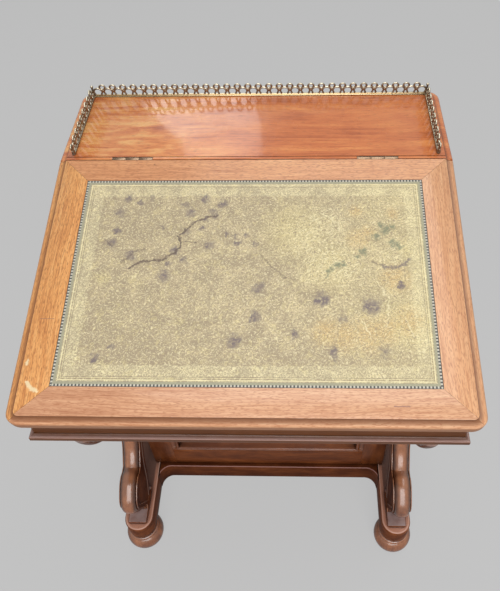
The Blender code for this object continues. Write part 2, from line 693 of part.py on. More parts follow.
board("leather_top", (GAP - panel_half, panel_front + GAP, panel_top + GAP),
      (panel_half - GAP, -BACK_RAIL_WIDTH - GAP, leather_top), LEATHER, lid_pivot)

# Hinges: leaves let into the shelf and the lid, knuckles on the axis
leaf_high = axis_drop - GAP
web_inner = PIN_RADIUS + 2 * GAP
middle_knuckle = HINGE_LENGTH / 3
for side, sign in (("left", -1), ("right", 1)):
    x = sign * (top_half - HINGE_INSET)
    axis_point = (x, hinge_y, axis_z)
    fixed_pivot = add_empty(f"{side}_hinge_axis", axis_point)
    for name, pivot, out, length in (("shelf_leaf", fixed_pivot, 1, HINGE_LENGTH),
                                     ("lid_leaf", lid_pivot, -1, middle_knuckle - 2 * GAP)):
        full = f"{side}_hinge_{name}"
        place_x = 0.0 if pivot is fixed_pivot else x
        faces = sorted((out * hinge_gap, out * (hinge_gap + LEAF_THICK)))
        leaf = board(full, (place_x - HINGE_LENGTH / 2, faces[0], -LEAF_DROP),
                     (place_x + HINGE_LENGTH / 2, faces[1], leaf_high), BRASS, pivot)
        reach = sorted((out * web_inner, out * (hinge_gap + LEAF_THICK / 2)))
        web = box_cutter(f"{full}_web", (place_x - length / 2, reach[0], -leaf_high),
                         (place_x + length / 2, reach[1], leaf_high - GAP), pivot)
        barrel = add_cutter(f"{full}_barrel", rod_mesh(f"{full}_barrel", KNUCKLE_RADIUS, length, 14),
                            (place_x, 0.0, 0.0), parent=pivot)
        bore = add_cutter(f"{full}_bore", rod_mesh(f"{full}_bore", PIN_RADIUS + GAP, 2 * HINGE_LENGTH, 14),
                          (place_x, 0.0, 0.0), parent=pivot)
        boolean(leaf, web, "UNION")
        boolean(leaf, barrel, "UNION")
        if pivot is fixed_pivot:
            notch = box_cutter(f"{full}_notch", (-middle_knuckle / 2, -hinge_gap, -2 * hinge_gap),
                               (middle_knuckle / 2, hinge_gap - GAP, 2 * hinge_gap), pivot)
            boolean(leaf, notch, "DIFFERENCE")
        boolean(leaf, bore, "DIFFERENCE")
    add(f"{side}_hinge_pin", rod_mesh(f"{side}_hinge_pin", PIN_RADIUS, HINGE_LENGTH, 14), BRASS, axis_point)
    mortise_half = HINGE_LENGTH / 2 + GAP
    mortise_deep = hinge_gap + LEAF_THICK + GAP
    shelf_mortise = box_cutter(f"{side}_shelf_mortise", (x - mortise_half, -past, -LEAF_DROP - GAP),
                               (x + mortise_half, mortise_deep, past), None)
    shelf_mortise.location += Vector((0.0, hinge_y, axis_z))
    boolean(shelf, shelf_mortise, "DIFFERENCE")
    lid_mortise = box_cutter(f"{side}_lid_mortise", (x - mortise_half, -mortise_deep, -LEAF_DROP - GAP),
                             (x + mortise_half, past, past), lid_pivot)
    boolean(back_rail, lid_mortise, "DIFFERENCE")
print("lid and hinges done")

# Gallery: a pierced strip drawn flat, then bent round the shelf
gallery_x = top_half - GALLERY_SIDE_INSET
gallery_front = hinge_y + GALLERY_START
gallery_back = hinge_y + SHELF_DEPTH - GALLERY_BACK_INSET
side_run = gallery_back - GALLERY_CORNER - gallery_front
bend_run = GALLERY_CORNER * math.pi / 2
back_run = 2 * (gallery_x - GALLERY_CORNER)
strip_length = 2 * (side_run + bend_run) + back_run
ring_low = GALLERY_HEIGHT * 0.36
ring_high = GALLERY_HEIGHT - GALLERY_TOP_RAIL
strip_outlines = [rectangle(0.0, 0.0, strip_length, GALLERY_HEIGHT)]
for start, run in ((0.0, side_run), (side_run + bend_run, back_run),
                   (side_run + 2 * bend_run + back_run, side_run)):
    units = round(run / GALLERY_PITCH)
    pitch = run / units
    for unit in range(units):
        left = start + unit * pitch
        ring_half = (pitch - GALLERY_BAR) / 2
        ring = [(left + pitch / 2 + ring_half * math.cos(math.tau * i / 8),
                 (ring_low + ring_high) / 2 + (ring_high - ring_low) / 2 * math.sin(math.tau * i / 8))
                for i in range(8)]
        foot_half = GALLERY_BAR
        arch = [(left + foot_half, GALLERY_BASE_RAIL), (left + pitch - foot_half, GALLERY_BASE_RAIL),
                (left + pitch - foot_half, ring_low - GALLERY_BAR * 0.7),
                (left + foot_half, ring_low - GALLERY_BAR * 0.7)]
        strip_outlines += [ring, arch]


def on_gallery(s):
    """Point and direction along the strip's line, from the left front end to the right one."""
    corner = GALLERY_CORNER
    if s <= side_run:
        return Vector((-gallery_x, gallery_front + s, 0.0)), Vector((0.0, 1.0, 0.0))
    s -= side_run
    if s <= bend_run:
        turn = s / corner
        place = Vector((corner - gallery_x - corner * math.cos(turn),
                        gallery_back - corner + corner * math.sin(turn), 0.0))
        return place, Vector((math.sin(turn), math.cos(turn), 0.0))
    s -= bend_run
    if s <= back_run:
        return Vector((corner - gallery_x + s, gallery_back, 0.0)), Vector((1.0, 0.0, 0.0))
    s -= back_run
    if s <= bend_run:
        turn = s / corner
        place = Vector((gallery_x - corner + corner * math.sin(turn),
                        gallery_back - corner + corner * math.cos(turn), 0.0))
        return place, Vector((math.cos(turn), -math.sin(turn), 0.0))
    s -= bend_run
    return Vector((gallery_x, gallery_back - corner - s, 0.0)), Vector((0.0, -1.0, 0.0))


strip = bpy.data.objects.new("gallery_strip", flat_curve("gallery_strip", strip_outlines, GALLERY_THICK))
parts.objects.link(strip)
bpy.context.view_layer.update()
graph = bpy.context.evaluated_depsgraph_get()
gallery_mesh = bpy.data.meshes.new_from_object(strip.evaluated_get(graph))
bpy.data.objects.remove(strip)
bm = bmesh.new()
bm.from_mesh(gallery_mesh)
bmesh.ops.remove_doubles(bm, verts=bm.verts[:], dist=0.00001)
for start in (side_run, side_run + bend_run + back_run):
    for step in range(4):
        everything = bm.verts[:] + bm.edges[:] + bm.faces[:]
        bmesh.ops.bisect_plane(bm, geom=everything, dist=1e-6, plane_co=(start + bend_run * step / 3, 0.0, 0.0),
                               plane_no=(1.0, 0.0, 0.0))
for vert in bm.verts:
    place, along = on_gallery(vert.co.x)
    vert.co = place + Vector((along.y, -along.x, 0.0)) * vert.co.z + Vector((0.0, 0.0, vert.co.y))
bm.to_mesh(gallery_mesh)
bm.free()
gallery_mesh.name = "brass_gallery"
gallery = add("brass_gallery", gallery_mesh, BRASS, (0.0, 0.0, shelf_top + GAP))

for obj in parts.objects:
    if obj.type == "MESH":
        obj.data.shade_smooth()
        obj.data.set_sharp_from_angle(angle=math.radians(40))
print("davenport desk done")
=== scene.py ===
import math
import bmesh
import bpy
from mathutils import Matrix, Vector


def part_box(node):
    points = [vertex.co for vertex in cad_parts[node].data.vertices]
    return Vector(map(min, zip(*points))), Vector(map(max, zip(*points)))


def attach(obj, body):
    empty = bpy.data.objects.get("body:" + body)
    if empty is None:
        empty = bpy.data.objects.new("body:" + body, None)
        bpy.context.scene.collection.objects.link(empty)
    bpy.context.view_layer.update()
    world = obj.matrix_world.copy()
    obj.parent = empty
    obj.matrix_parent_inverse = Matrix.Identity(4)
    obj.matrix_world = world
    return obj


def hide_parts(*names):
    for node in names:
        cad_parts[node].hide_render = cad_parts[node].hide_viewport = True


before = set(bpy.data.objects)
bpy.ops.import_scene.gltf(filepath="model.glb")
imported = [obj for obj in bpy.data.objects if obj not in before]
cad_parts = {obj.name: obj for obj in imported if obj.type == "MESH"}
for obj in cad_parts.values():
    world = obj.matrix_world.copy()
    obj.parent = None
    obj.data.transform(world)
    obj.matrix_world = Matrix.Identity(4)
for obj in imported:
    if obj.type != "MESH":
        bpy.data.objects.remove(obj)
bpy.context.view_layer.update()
print("frame loaded,", len(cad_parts), "nodes")

xAxis, yAxis, zAxis = Vector((1, 0, 0)), Vector((0, 1, 0)), Vector((0, 0, 1))
quarter = math.pi / 2
bothSides = ((-1, "left"), (1, "right"))
near = 0.00001  # two places closer than this are one
gap = 0.0003  # air between pieces that are fixed together
lap = 0.0001  # how far one part of a piece goes into another


def mm(*points):  # points written in millimetres
    return [tuple(size / 1000 for size in point) for point in points]


# Small hand tools for the modelling

def deselect():
    if bpy.context.object and bpy.context.object.mode == "EDIT":
        bpy.ops.object.mode_set(mode="OBJECT")
    bpy.ops.object.select_all(action="DESELECT")


def take(*pieces):  # only these in hand, in object mode
    deselect()
    for piece in pieces:
        piece.select_set(True)
    bpy.context.view_layer.objects.active = pieces[0]


def fixPlace():  # the place of the piece in hand goes into its mesh
    bpy.ops.object.transform_apply(location=True, rotation=True, scale=True)


def newest(name):  # names what an operator just made
    fixPlace()
    piece = bpy.context.object
    piece.name = piece.data.name = name
    return piece


def addBlock(name, corner, opposite):
    deselect()
    corner, opposite = Vector(corner), Vector(opposite)
    bpy.ops.mesh.primitive_cube_add(size=1, location=(corner + opposite) / 2)
    bpy.context.object.scale = [abs(part) for part in opposite - corner]
    return newest(name)


def nodeBlock(name, node):  # as large as a node's box
    return addBlock(name, *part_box(node))


def addRod(name, start, end, radius, around=24):
    deselect()
    start, end = Vector(start), Vector(end)
    bpy.ops.mesh.primitive_cylinder_add(vertices=around, radius=radius, depth=(end - start).length,
                                        location=(start + end) / 2)
    bpy.context.object.rotation_euler = (end - start).to_track_quat("Z", "Y").to_euler()
    return newest(name)


def addHoop(name, centre, radius, wire, around=24):  # a ring standing in the XZ plane
    deselect()
    bpy.ops.mesh.primitive_torus_add(major_radius=radius, minor_radius=wire, major_segments=around,
                                     minor_segments=8, location=centre, rotation=(quarter, 0, 0))
    return newest(name)


def copyOf(piece, name):
    take(piece)
    bpy.ops.object.duplicate(linked=False)
    return newest(name)


def discard(piece):
    deselect()
    piece.select_set(True)
    bpy.ops.object.delete()


def joined(name, pieces):
    take(*pieces)
    bpy.ops.object.join()
    return newest(name)


def moved(piece, by, turn=(0, 0, 0)):
    take(piece)
    piece.location, piece.rotation_euler = by, turn
    fixPlace()
    return piece


def openEdit(piece, kind):
    if not (bpy.context.object is piece and piece.mode == "EDIT"):
        take(piece)
        bpy.ops.object.mode_set(mode="EDIT")
    bpy.ops.mesh.select_mode(type=kind)
    bpy.ops.mesh.select_all(action="DESELECT")


def pick(piece, kind, test):  # edit mode, with the faces, edges or points that pass the test
    openEdit(piece, kind)
    cage = bmesh.from_edit_mesh(piece.data)
    for item in {"FACE": cage.faces, "EDGE": cage.edges, "VERT": cage.verts}[kind]:
        if test(item):
            item.select_set(True)
    cage.select_flush_mode()
    bmesh.update_edit_mesh(piece.data)


def mid(item):
    points = [point.co for point in item.verts]
    return sum(points, Vector()) / len(points)


def facing(direction):
    return lambda face: face.normal.dot(direction) > 0.9


def runsAlong(edge, axis):
    return abs(edge.verts[0].co[axis] - edge.verts[1].co[axis]) > 0.005


def at(edge, **places):  # both ends have these coordinates
    return all(abs(getattr(point.co, axis) - place) < near
               for point in edge.verts for axis, place in places.items())


def shift(piece, test, by):
    pick(piece, "VERT", test)
    bpy.ops.transform.translate(value=by)


def stretch(piece, by, centre, test=lambda point: True):
    pick(piece, "VERT", test)
    bpy.ops.transform.resize(value=by, center_override=centre)


def insetFace(piece, test, *steps):  # each step as (inwards, up)
    pick(piece, "FACE", test)
    for inwards, up in steps:
        bpy.ops.mesh.inset(thickness=inwards, depth=up)


def extrude(by):
    bpy.ops.mesh.extrude_region_move(TRANSFORM_OT_translate={"value": by})


def scoreLine(piece, point, normal, **saw):
    openEdit(piece, "FACE")
    bpy.ops.mesh.select_all(action="SELECT")
    bpy.ops.mesh.bisect(plane_co=point, plane_no=normal, **saw)


def cutAway(piece, point, normal):  # takes off what lies on the normal's side
    scoreLine(piece, point, normal, use_fill=True, clear_outer=True)


def roundEdges(piece, test, width, segments=4):
    pick(piece, "EDGE", test)
    bpy.ops.mesh.bevel(offset=width, segments=segments, affect="EDGES")


def soften(piece, width, segments=2, angle=40):
    take(piece)
    bevel = piece.modifiers.new("soften", "BEVEL")
    bevel.width, bevel.segments = width, segments
    bevel.limit_method, bevel.angle_limit = "ANGLE", math.radians(angle)
    bpy.ops.object.modifier_apply(modifier="soften")
    return piece


def sawOut(piece, corner, opposite):  # a block's worth comes out
    cutter = addBlock("saw", corner, opposite)
    take(piece)
    saw = piece.modifiers.new("saw", "BOOLEAN")
    saw.operation, saw.object, saw.solver = "DIFFERENCE", cutter, "EXACT"
    bpy.ops.object.modifier_apply(modifier="saw")
    discard(cutter)
    return piece


def cleanUp(piece):
    openEdit(piece, "VERT")
    bpy.ops.mesh.select_all(action="SELECT")
    bpy.ops.mesh.remove_doubles(threshold=near)
    bpy.ops.mesh.normals_make_consistent(inside=False)
    deselect()
    return piece


def turnOnLathe(name, profile, centre, steps):  # profile of (radius, height)
    points = [Vector(centre) + Vector((0, radius, height)) for radius, height in profile]
    deselect()
    bpy.ops.mesh.primitive_plane_add(size=0.001, location=points[0])
    piece = newest(name)
    openEdit(piece, "VERT")
    bpy.ops.mesh.select_all(action="SELECT")
    bpy.ops.mesh.merge(type="CENTER")
    for here, there in zip(points, points[1:]):
        extrude(there - here)
    bpy.ops.mesh.select_all(action="SELECT")
    bpy.ops.mesh.spin(steps=steps, angle=math.tau, center=centre, axis=zAxis)
    return cleanUp(piece)


def settle(piece, finish, *nodes, body="carcass", slot="dark_mahogany", smooth=35):
    take(piece)
    bpy.ops.object.shade_smooth_by_angle(angle=math.radians(smooth))
    piece.data.materials.clear()
    piece.data.materials.append(finish)
    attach(piece, body)
    if nodes:
        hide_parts(*nodes)


def addFinish(piece, finish, test):  # a second finish on the faces that pass the test
    piece.data.materials.append(finish)
    for face in piece.data.polygons:
        face.material_index = 1 if test(face) else 0


# Small tools for the materials, at work on the tree in hand
paint = dict(tree=None)


def newMaterial(name):
    material = bpy.data.materials.new(name)
    material.use_nodes = True
    paint["tree"] = material.node_tree
    return material, material.node_tree.nodes["Principled BSDF"]


def wire(node, inputs):  # links what comes from a node, sets what is a plain value
    for key, value in dict(inputs).items():
        if isinstance(value, bpy.types.NodeSocket):
            paint["tree"].links.new(value, node.inputs[key])
        else:
            node.inputs[key].default_value = value
    return node


def addNode(kind, inputs=(), **settings):
    node = paint["tree"].nodes.new("ShaderNode" + kind)
    for key, value in settings.items():
        setattr(node, key, value)
    return wire(node, inputs)


def calc(operation, a, b=0.0, clamp=False):
    return addNode("Math", {0: a, 1: b}, operation=operation, use_clamp=clamp).outputs[0]


def times(a, b):
    return calc("MULTIPLY", a, b)


def plus(a, b):
    return calc("ADD", a, b)


def minus(a, b):
    return calc("SUBTRACT", a, b)


def most(a, b):
    return calc("MAXIMUM", a, b)


def waver(value, amount):  # a noise centred on nought
    return times(minus(value, 0.5), amount)


def vectorCalc(operation, a, b):
    output = "Value" if operation in ("DISTANCE", "DOT_PRODUCT") else "Vector"
    return addNode("VectorMath", {0: a, 1: b}, operation=operation).outputs[output]


def stretched(vector, scale):
    return vectorCalc("MULTIPLY", vector, scale)


def noise(vector, scale=1.0, detail=2.0, rough=0.5, warp=0.0):
    return addNode("TexNoise", {"Vector": vector, "Scale": scale, "Detail": detail, "Roughness": rough,
                                "Distortion": warp}).outputs[0]


def jitter(vector, scale, amount):  # small offsets in all directions
    cloud = addNode("TexNoise", {"Vector": vector, "Scale": scale, "Detail": 3}).outputs["Color"]
    return stretched(vectorCalc("SUBTRACT", cloud, (0.5, 0.5, 0.5)), amount)


def spread(value, low, high, toLow=0.0, toHigh=1.0):  # a value's range stretched to another
    return addNode("MapRange", {0: value, 1: low, 2: high, 3: toLow, 4: toHigh},
                   interpolation_type="SMOOTHSTEP").outputs[0]


def within(value, low, high, soft=0.0002):
    return times(spread(value, low - soft, low + soft), spread(value, high - soft, high + soft, 1, 0))


def blendIn(amount, under, over):
    def colour(value):
        return value if isinstance(value, bpy.types.NodeSocket) else (*value, 1)
    return addNode("Mix", {0: amount, 6: colour(under), 7: colour(over)}, data_type="RGBA").outputs[2]


def layered(colour, layers):  # laid over the first colour in turn, each as (how much, which)
    for amount, over in layers:
        colour = blendIn(amount, colour, over)
    return colour


def darker(colour, share):
    return [part * share for part in colour]


def ramp(value, stops):  # stops of (place, red, green, blue)
    node = addNode("ValToRGB", {0: value})
    band = node.color_ramp
    while len(band.elements) < len(stops):
        band.elements.new(0.5)
    for element, (place, *colour) in zip(band.elements, stops):
        element.position = place
        element.color = (*colour, 1)
    return node.outputs[0]


def localSpace(turn=Matrix.Identity(3), place=(0, 0, 0)):
    coords = addNode("TexCoord").outputs["Object"]
    return addNode("Mapping", {"Vector": coords, "Location": place, "Rotation": turn.to_euler("XYZ")},
                   vector_type="TEXTURE").outputs[0]


def axesOf(vector):
    return addNode("SeparateXYZ", {0: vector}).outputs


def objectAxes():
    return axesOf(addNode("TexCoord").outputs["Object"])


def normalAxes():
    return axesOf(addNode("NewGeometry").outputs["Normal"])


def openness(reach, samples=8):  # low in corners
    return addNode("AmbientOcclusion", {"Distance": reach}, samples=samples).outputs["AO"]


def bump(height, strength, distance):
    return addNode("Bump", {"Height": height, "Strength": strength, "Distance": distance}).outputs[0]


def spots(place, marks, soft):  # marks of (x, y, radius) in millimetres
    mask = 0.0
    for x, y, radius in mm(*marks):
        away = vectorCalc("DISTANCE", place, (x, y, 0))
        mask = most(mask, spread(away, radius * soft, radius * 1.15, 1, 0))
    return mask


def strokes(place, points, width):  # a line through points, all in millimetres
    mask, width = 0.0, width / 1000
    points = [Vector((*point, 0)) for point in mm(*points)]
    for start, end in zip(points, points[1:]):
        step = end - start
        reach = vectorCalc("SUBTRACT", place, start)
        along = calc("DIVIDE", vectorCalc("DOT_PRODUCT", reach, step), step.length_squared, clamp=True)
        foot = addNode("VectorMath", {0: step, "Scale": along}, operation="SCALE").outputs[0]
        mask = most(mask, spread(vectorCalc("DISTANCE", reach, foot), width * 0.3, width, 1, 0))
    return mask


# Grain directions: the pattern's own X runs along the grain
slope = math.radians(11.9)
tilt = Matrix.Rotation(slope, 3, "X")
grains = dict(
    x=Matrix.Identity(3), y=Matrix.Rotation(quarter, 3, "Z"), z=Matrix.Rotation(-quarter, 3, "Y"))
alongX, alongY, alongZ = grains.values()

# Mahogany: polished on the top, dark below, with painted top light on faces turned up and painted shade in
# corners and hollows
plainLook = dict(
    fine=0.18, rough=0.2, coat=0.0, coatRough=0.12, dustAndSheen=0.0, cornerShade=0.95, cornerShadeReach=0.005,
    poreSize=(85, 1500, 1500), poreFrom=0.6)
shelfLook = dict(
    plainLook,
    tones=[(0, 0.17, 0.034, 0.01), (0.28, 0.41, 0.098, 0.029), (0.5, 0.63, 0.182, 0.056),
        (0.74, 0.8, 0.295, 0.09), (1, 0.9, 0.46, 0.16)],
    pore=(0.24, 0.07, 0.024), streak=0.22, fine=0.22, figure=0.85, figureSize=(15, 64, 64),
    figureFrom=(0.03, -0.15), rough=0.22, coat=0.6, coatRough=0.075, shine=0.4,
    hollow=(0.3753, 0.0037, 0.0))
frameLook = dict(
    plainLook,
    tones=[(0, 0.36, 0.115, 0.032), (0.35, 0.58, 0.235, 0.07), (0.55, 0.76, 0.35, 0.112),
        (1, 0.86, 0.5, 0.2)],
    pore=(0.34, 0.12, 0.038), streak=0.15, fine=0.54, figure=0.24, figureSize=(55, 260, 260),
    poreSize=(150, 950, 950), poreFrom=0.53, rough=0.32, coat=0.5, coatRough=0.16, shine=0.4,
    hollow=(0.0012, 0.0041, 0.0))
# A paler, bluer copy of the frame wood as a painted sheen of reflected light, for the right stile and the
# lid's front rail
sheenFrameLook = dict(
    frameLook,
    tones=[(0, 0.42, 0.17, 0.075), (0.35, 0.62, 0.3, 0.145), (0.55, 0.7, 0.37, 0.19),
        (1, 0.82, 0.5, 0.27)],
    pore=(0.42, 0.17, 0.08), drift=(-0.25, 0.05, 0.36, 0.5))
# The front rail's paler, desaturated tones are also painted sheen
railLook = dict(
    sheenFrameLook,
    tones=[(0, 0.4, 0.165, 0.08), (0.35, 0.58, 0.29, 0.155), (0.55, 0.66, 0.36, 0.205),
        (1, 0.78, 0.49, 0.29)],
    hollow=(0.0012, 0.005, 0.7))
railEdgeLook = dict(railLook, coat=0.0, shine=0.12, rough=0.45)
midFrameLook = dict(
    frameLook,
    tones=[(0, 0.38, 0.13, 0.05), (0.35, 0.58, 0.25, 0.105), (0.55, 0.67, 0.315, 0.14),
        (1, 0.8, 0.44, 0.2)],
    pore=(0.38, 0.14, 0.06), drift=(0.0, 0.22, 0.46, 0.52))
darkLook = dict(
    plainLook,
    tones=[(0, 0.041, 0.01, 0.0034), (0.4, 0.122, 0.032, 0.0098), (0.7, 0.215, 0.062, 0.018),
        (1, 0.34, 0.115, 0.036)],
    pore=(0.034, 0.01, 0.005), streak=0.28, figure=0.46, figureSize=(18, 46, 46), shine=0.16,
    sideRough=0.5, cornerShade=0.5, nookShade=(0.55, 0.25, 0.75))
flameLook = dict(darkLook, figure=0.6)
dustAndSheenLook = dict(darkLook, dustAndSheen=0.75)
ledgeLook = dict(
    darkLook, dustAndSheen=0.1, nookShade=(0.9, 0.4, 0.72), shine=0.1, sideRough=0.6,
    topLight=(0.8, (0.6, 0.28, 0.18), 0.5, 0.95), edgeHighlight=(0.0947, (0.6, 0.36, 0.28)), ledgeShade=(0.2305, -0.165))
beadLook = dict(
    darkLook, shine=0.4, sideRough=0.3, topLight=(0.15, (0.46, 0.25, 0.19), 0.35, 0.9),
    edgeHighlight=(0.1662, (0.5, 0.29, 0.22)))
# A darker copy of the dark mahogany as painted shade, for faces little light reaches: scroll flanks and
# undersides, back feet, plinth rail
shadedLook = dict(
    darkLook,
    tones=[(0, 0.028, 0.007, 0.0024), (0.4, 0.08, 0.02, 0.0066), (0.7, 0.15, 0.042, 0.013),
        (1, 0.25, 0.08, 0.026)],
    shine=0.04)
shadedRoughLook = dict(shadedLook, sideRough=0.6)
plinthLook = dict(shadedLook, edgeHighlight=(0.0947, (0.36, 0.19, 0.165)))
polishedLook = dict(
    darkLook,
    tones=[(0, 0.042, 0.011, 0.004), (0.4, 0.19, 0.054, 0.019), (0.7, 0.37, 0.128, 0.047),
        (1, 0.58, 0.26, 0.11)],
    streak=0.3, figure=0.42, figureSize=(30, 70, 70), rough=0.17, shine=0.85, sideRough=0.2, cornerShade=0.9,
    cornerShadeReach=0.016, topLight=(0.4, (0.5, 0.25, 0.145), 0.0, 0.9))
scrollLook = dict(polishedLook, crown=0.75)
footLook = dict(polishedLook, dustAndSheen=0.5, topLight=(0.3, (0.50, 0.25, 0.145), 0.0, 0.9))
boxLook = dict(
    plainLook,
    tones=[(0, 0.04, 0.013, 0.0045), (0.4, 0.095, 0.031, 0.01), (0.7, 0.16, 0.056, 0.018),
        (1, 0.25, 0.094, 0.031)],
    pore=(0.07, 0.02, 0.009), streak=0.2, figure=0.22, figureSize=(14, 26, 26), shine=0.22, sideRough=0.5)
mouldingLook = dict(
    boxLook, shine=0.25, rough=0.25, sideRough=0.4, dustAndSheen=0.28, edgeHighlight=(0.6316, (0.4, 0.24, 0.2)))
liningLook = dict(
    plainLook,
    tones=[(0, 0.24, 0.105, 0.042), (0.5, 0.4, 0.21, 0.092), (1, 0.54, 0.32, 0.16)],
    pore=(0.18, 0.085, 0.036), streak=0.2, fine=0.2, figure=0.1, figureSize=(12, 26, 26), rough=0.55,
    coat=0.05, coatRough=0.4, shine=0.35)
dustAndSheenColour = (0.36, 0.275, 0.265)
markColours = dict(chip=(0.86, 0.7, 0.42), scratch=(0.3, 0.15, 0.11), knot=(0.22, 0.09, 0.035))
# What all the woods share: how often each pattern comes along and across the grain
fibre = dict(sway=(2.4, 9, 9), swing=0.03, broad=(2.2, 40, 40), lines=(16, 620, 620), nookReach=0.09)


def makeWood(name, look, turn, place=(0, 0, 0), marks=()):
    material, shader = newMaterial(name)
    grain, facingUp, pore = localSpace(turn, place), normalAxes()[2], look["pore"]
    sway = waver(noise(stretched(grain, fibre["sway"])), fibre["swing"])
    bent = vectorCalc("ADD", grain, addNode("CombineXYZ", {1: sway}).outputs[0])
    broad = noise(stretched(bent, fibre["broad"]), detail=3, rough=0.55)
    lines = noise(stretched(bent, fibre["lines"]), detail=3, rough=0.65)
    ripple = noise(stretched(bent, look["figureSize"]), detail=5, rough=0.66, warp=0.35)
    pores = noise(stretched(bent, look["poreSize"]), detail=1)
    pores = spread(pores, look["poreFrom"], look["poreFrom"] + 0.10)
    strength, tone = look["figure"], 0.52
    if "figureFrom" in look:  # the figure fades out along the board
        along = objectAxes()[0]
        tone = spread(along, *look["figureFrom"], 0.53, 0.74)
        strength = spread(along, *look["figureFrom"], strength * 0.3, strength)
    elif "drift" in look:  # the tone rises along the board towards one end
        tone = spread(objectAxes()[0], *look["drift"])
    patterns = [(broad, look["streak"] * 3), (lines, look["fine"] * 2.4), (ripple, times(strength, 2.4))]
    for value, amount in patterns:
        tone = plus(tone, waver(value, amount))
    layers = [(times(pores, 0.6), pore)]
    if "topLight" in look:  # painted top light: faces turned up are made lighter
        amount, topLight, low, high = look["topLight"]
        layers.append((spread(facingUp, low, high, 0, amount), topLight))
    # painted shade in corners and creases, as deep as the reach
    layers.append((spread(openness(look["cornerShadeReach"]), 0.30, 0.85, look["cornerShade"], 0), darker(pore, 0.35)))
    if "nookShade" in look:  # painted shade in sheltered places, by how open they are
        amount, low, high = look["nookShade"]
        layers.append((spread(openness(fibre["nookReach"]), low, high, amount, 0), darker(pore, 0.4)))
    if "ledgeShade" in look:  # painted shade on the up-facing ledge outside one line and behind another
        besideX, behindY = look["ledgeShade"]
        axes = objectAxes()
        shadedLedge = times(spread(calc("ABSOLUTE", axes[0]), besideX - 0.002, besideX + 0.002),
                         spread(axes[1], behindY, behindY + 0.03))
        layers.append((times(shadedLedge, spread(facingUp, 0.5, 0.9, 0, 0.8)), pore))
    if "crown" in look:  # painted shade down the sides, lighter on the crown, by how far the face turns sideways
        across = calc("ABSOLUTE", normalAxes()[0])
        layers.append((spread(across, 0.25, 0.85, 0, look["crown"]), pore))
    if "hollow" in look:  # painted shadow below the step and painted shade low on the nose, by depth below the flat
        flat, end, under = look["hollow"]
        depth = minus(flat, axesOf(grain)[2])
        stepShadow = times(spread(depth, 0.0002, 0.0008), spread(depth, 0.0028, end, 0.9, 0))
        layers.append((most(stepShadow, spread(depth, 0.0046, 0.0110, 0, under)), darker(pore, 0.45)))
    if "edgeHighlight" in look:  # a painted highlight along an edge, by its height
        height, tint = look["edgeHighlight"]
        level = objectAxes()[2]
        sheenAndWear = times(spread(level, height - 0.0014, height - 0.0005),
                       spread(level, height, height + 0.0002, 1, 0))
        layers.append((times(sheenAndWear, 0.8), tint))
    for kind, mark, width in marks:  # chips and scratches, on the grain's own plane
        ragged = vectorCalc("ADD", jitter(grain, 260, (width / 1000 * 2.2,) * 3), grain)
        layers.append((times(strokes(stretched(ragged, (1, 1, 0)), mark, width), 0.85), markColours[kind]))
    # dust on faces turned up, also standing in as a painted sheen of reflected light
    if look["dustAndSheen"]:
        dustAndSheenMask = times(spread(facingUp, 0.75, 0.98), spread(noise(grain, 60, 4), 0.2, 0.7, 0.5, 1))
        layers.append((times(dustAndSheenMask, look["dustAndSheen"]), dustAndSheenColour))
    rough = spread(noise(grain, 26, 3), 0.25, 0.75, look["rough"] - 0.06, look["rough"] + 0.08)
    if "sideRough" in look:  # upright faces have lost their polish
        rough = most(rough, spread(calc("ABSOLUTE", facingUp), 0.06, 0.30, look["sideRough"], 0))
    wire(shader, {"Base Color": layered(ramp(tone, look["tones"]), layers), "Roughness": rough,
                  "Specular IOR Level": look["shine"], "Coat Weight": look["coat"],
                  "Coat Roughness": look["coatRough"],
                  "Normal": bump(minus(times(lines, 0.4), pores), 0.22, 0.00012)})
    return material


def woodSet(name, look, axes, place=(0, 0, 0)):  # the same wood with its grain along several axes
    return [makeWood(f"{name}_{axis}", look, grains[axis], place) for axis in axes]


# Marks as (kind, points along and across the grain from the hinge line, half width), in millimetres
railMarks = [
    ("scratch", [(172, -353.3), (189, -353.1)], 1.1), ("knot", [(-139.7, -10.3), (-138.7, -10.3)], 1.2)]
stileMarks = [
    ("chip", [(-304.5, 261.2), (-302.0, 260.6)], 3.0),
    ("scratch", [(-246.3, 256.6), (-246.3, 239.2)], 0.6),
    ("chip", [(-328.5, 256.0), (-335.2, 250.0), (-338.6, 243.0)], 3.6)]
hingeLine = (0, 0.1026, 0.7741)
shelfWood = makeWood("shelf_mahogany", shelfLook, alongX, (0.31, 0.07, 0.4))
railWood = makeWood("lid_rail_mahogany", railLook, tilt, hingeLine, railMarks)
railEdgeWood = makeWood("lid_rail_edge_mahogany", railEdgeLook, tilt, hingeLine)
stileWood = makeWood("lid_stile_mahogany", frameLook, tilt @ alongY, hingeLine, stileMarks)
sheenStileWood = makeWood("lid_sheen_stile_mahogany", sheenFrameLook, tilt @ alongY, hingeLine)
backRailWood = makeWood("lid_back_rail_mahogany", midFrameLook, tilt, hingeLine, railMarks)
mouldingWoodX, mouldingWoodY = woodSet("moulding_mahogany", mouldingLook, "xy")
boxWoodX, boxWoodY = woodSet("box_mahogany", boxLook, "xy", (0.2, 0, 0.3))
darkWoodX, darkWoodY, darkWoodZ = woodSet("dark_mahogany", darkLook, "xyz")
beadWoodX, beadWoodZ = woodSet("bead_mahogany", beadLook, "xz")
liningWoodX, liningWoodY = woodSet("lining_wood", liningLook, "xy")
shadedWood = makeWood("shaded_mahogany", shadedRoughLook, alongZ)
plinthWood = makeWood("plinth_mahogany", plinthLook, alongX)
scrollWood = makeWood("scroll_mahogany", scrollLook, alongZ)
footWood = makeWood("foot_mahogany", footLook, alongZ)
dustAndSheenWood = makeWood("dust_and_sheen_mahogany", dustAndSheenLook, alongX)
runnerWood = makeWood("runner_mahogany", ledgeLook, alongY)
flameWood = makeWood("figured_mahogany", flameLook, alongZ, (0.1, 0, 0))

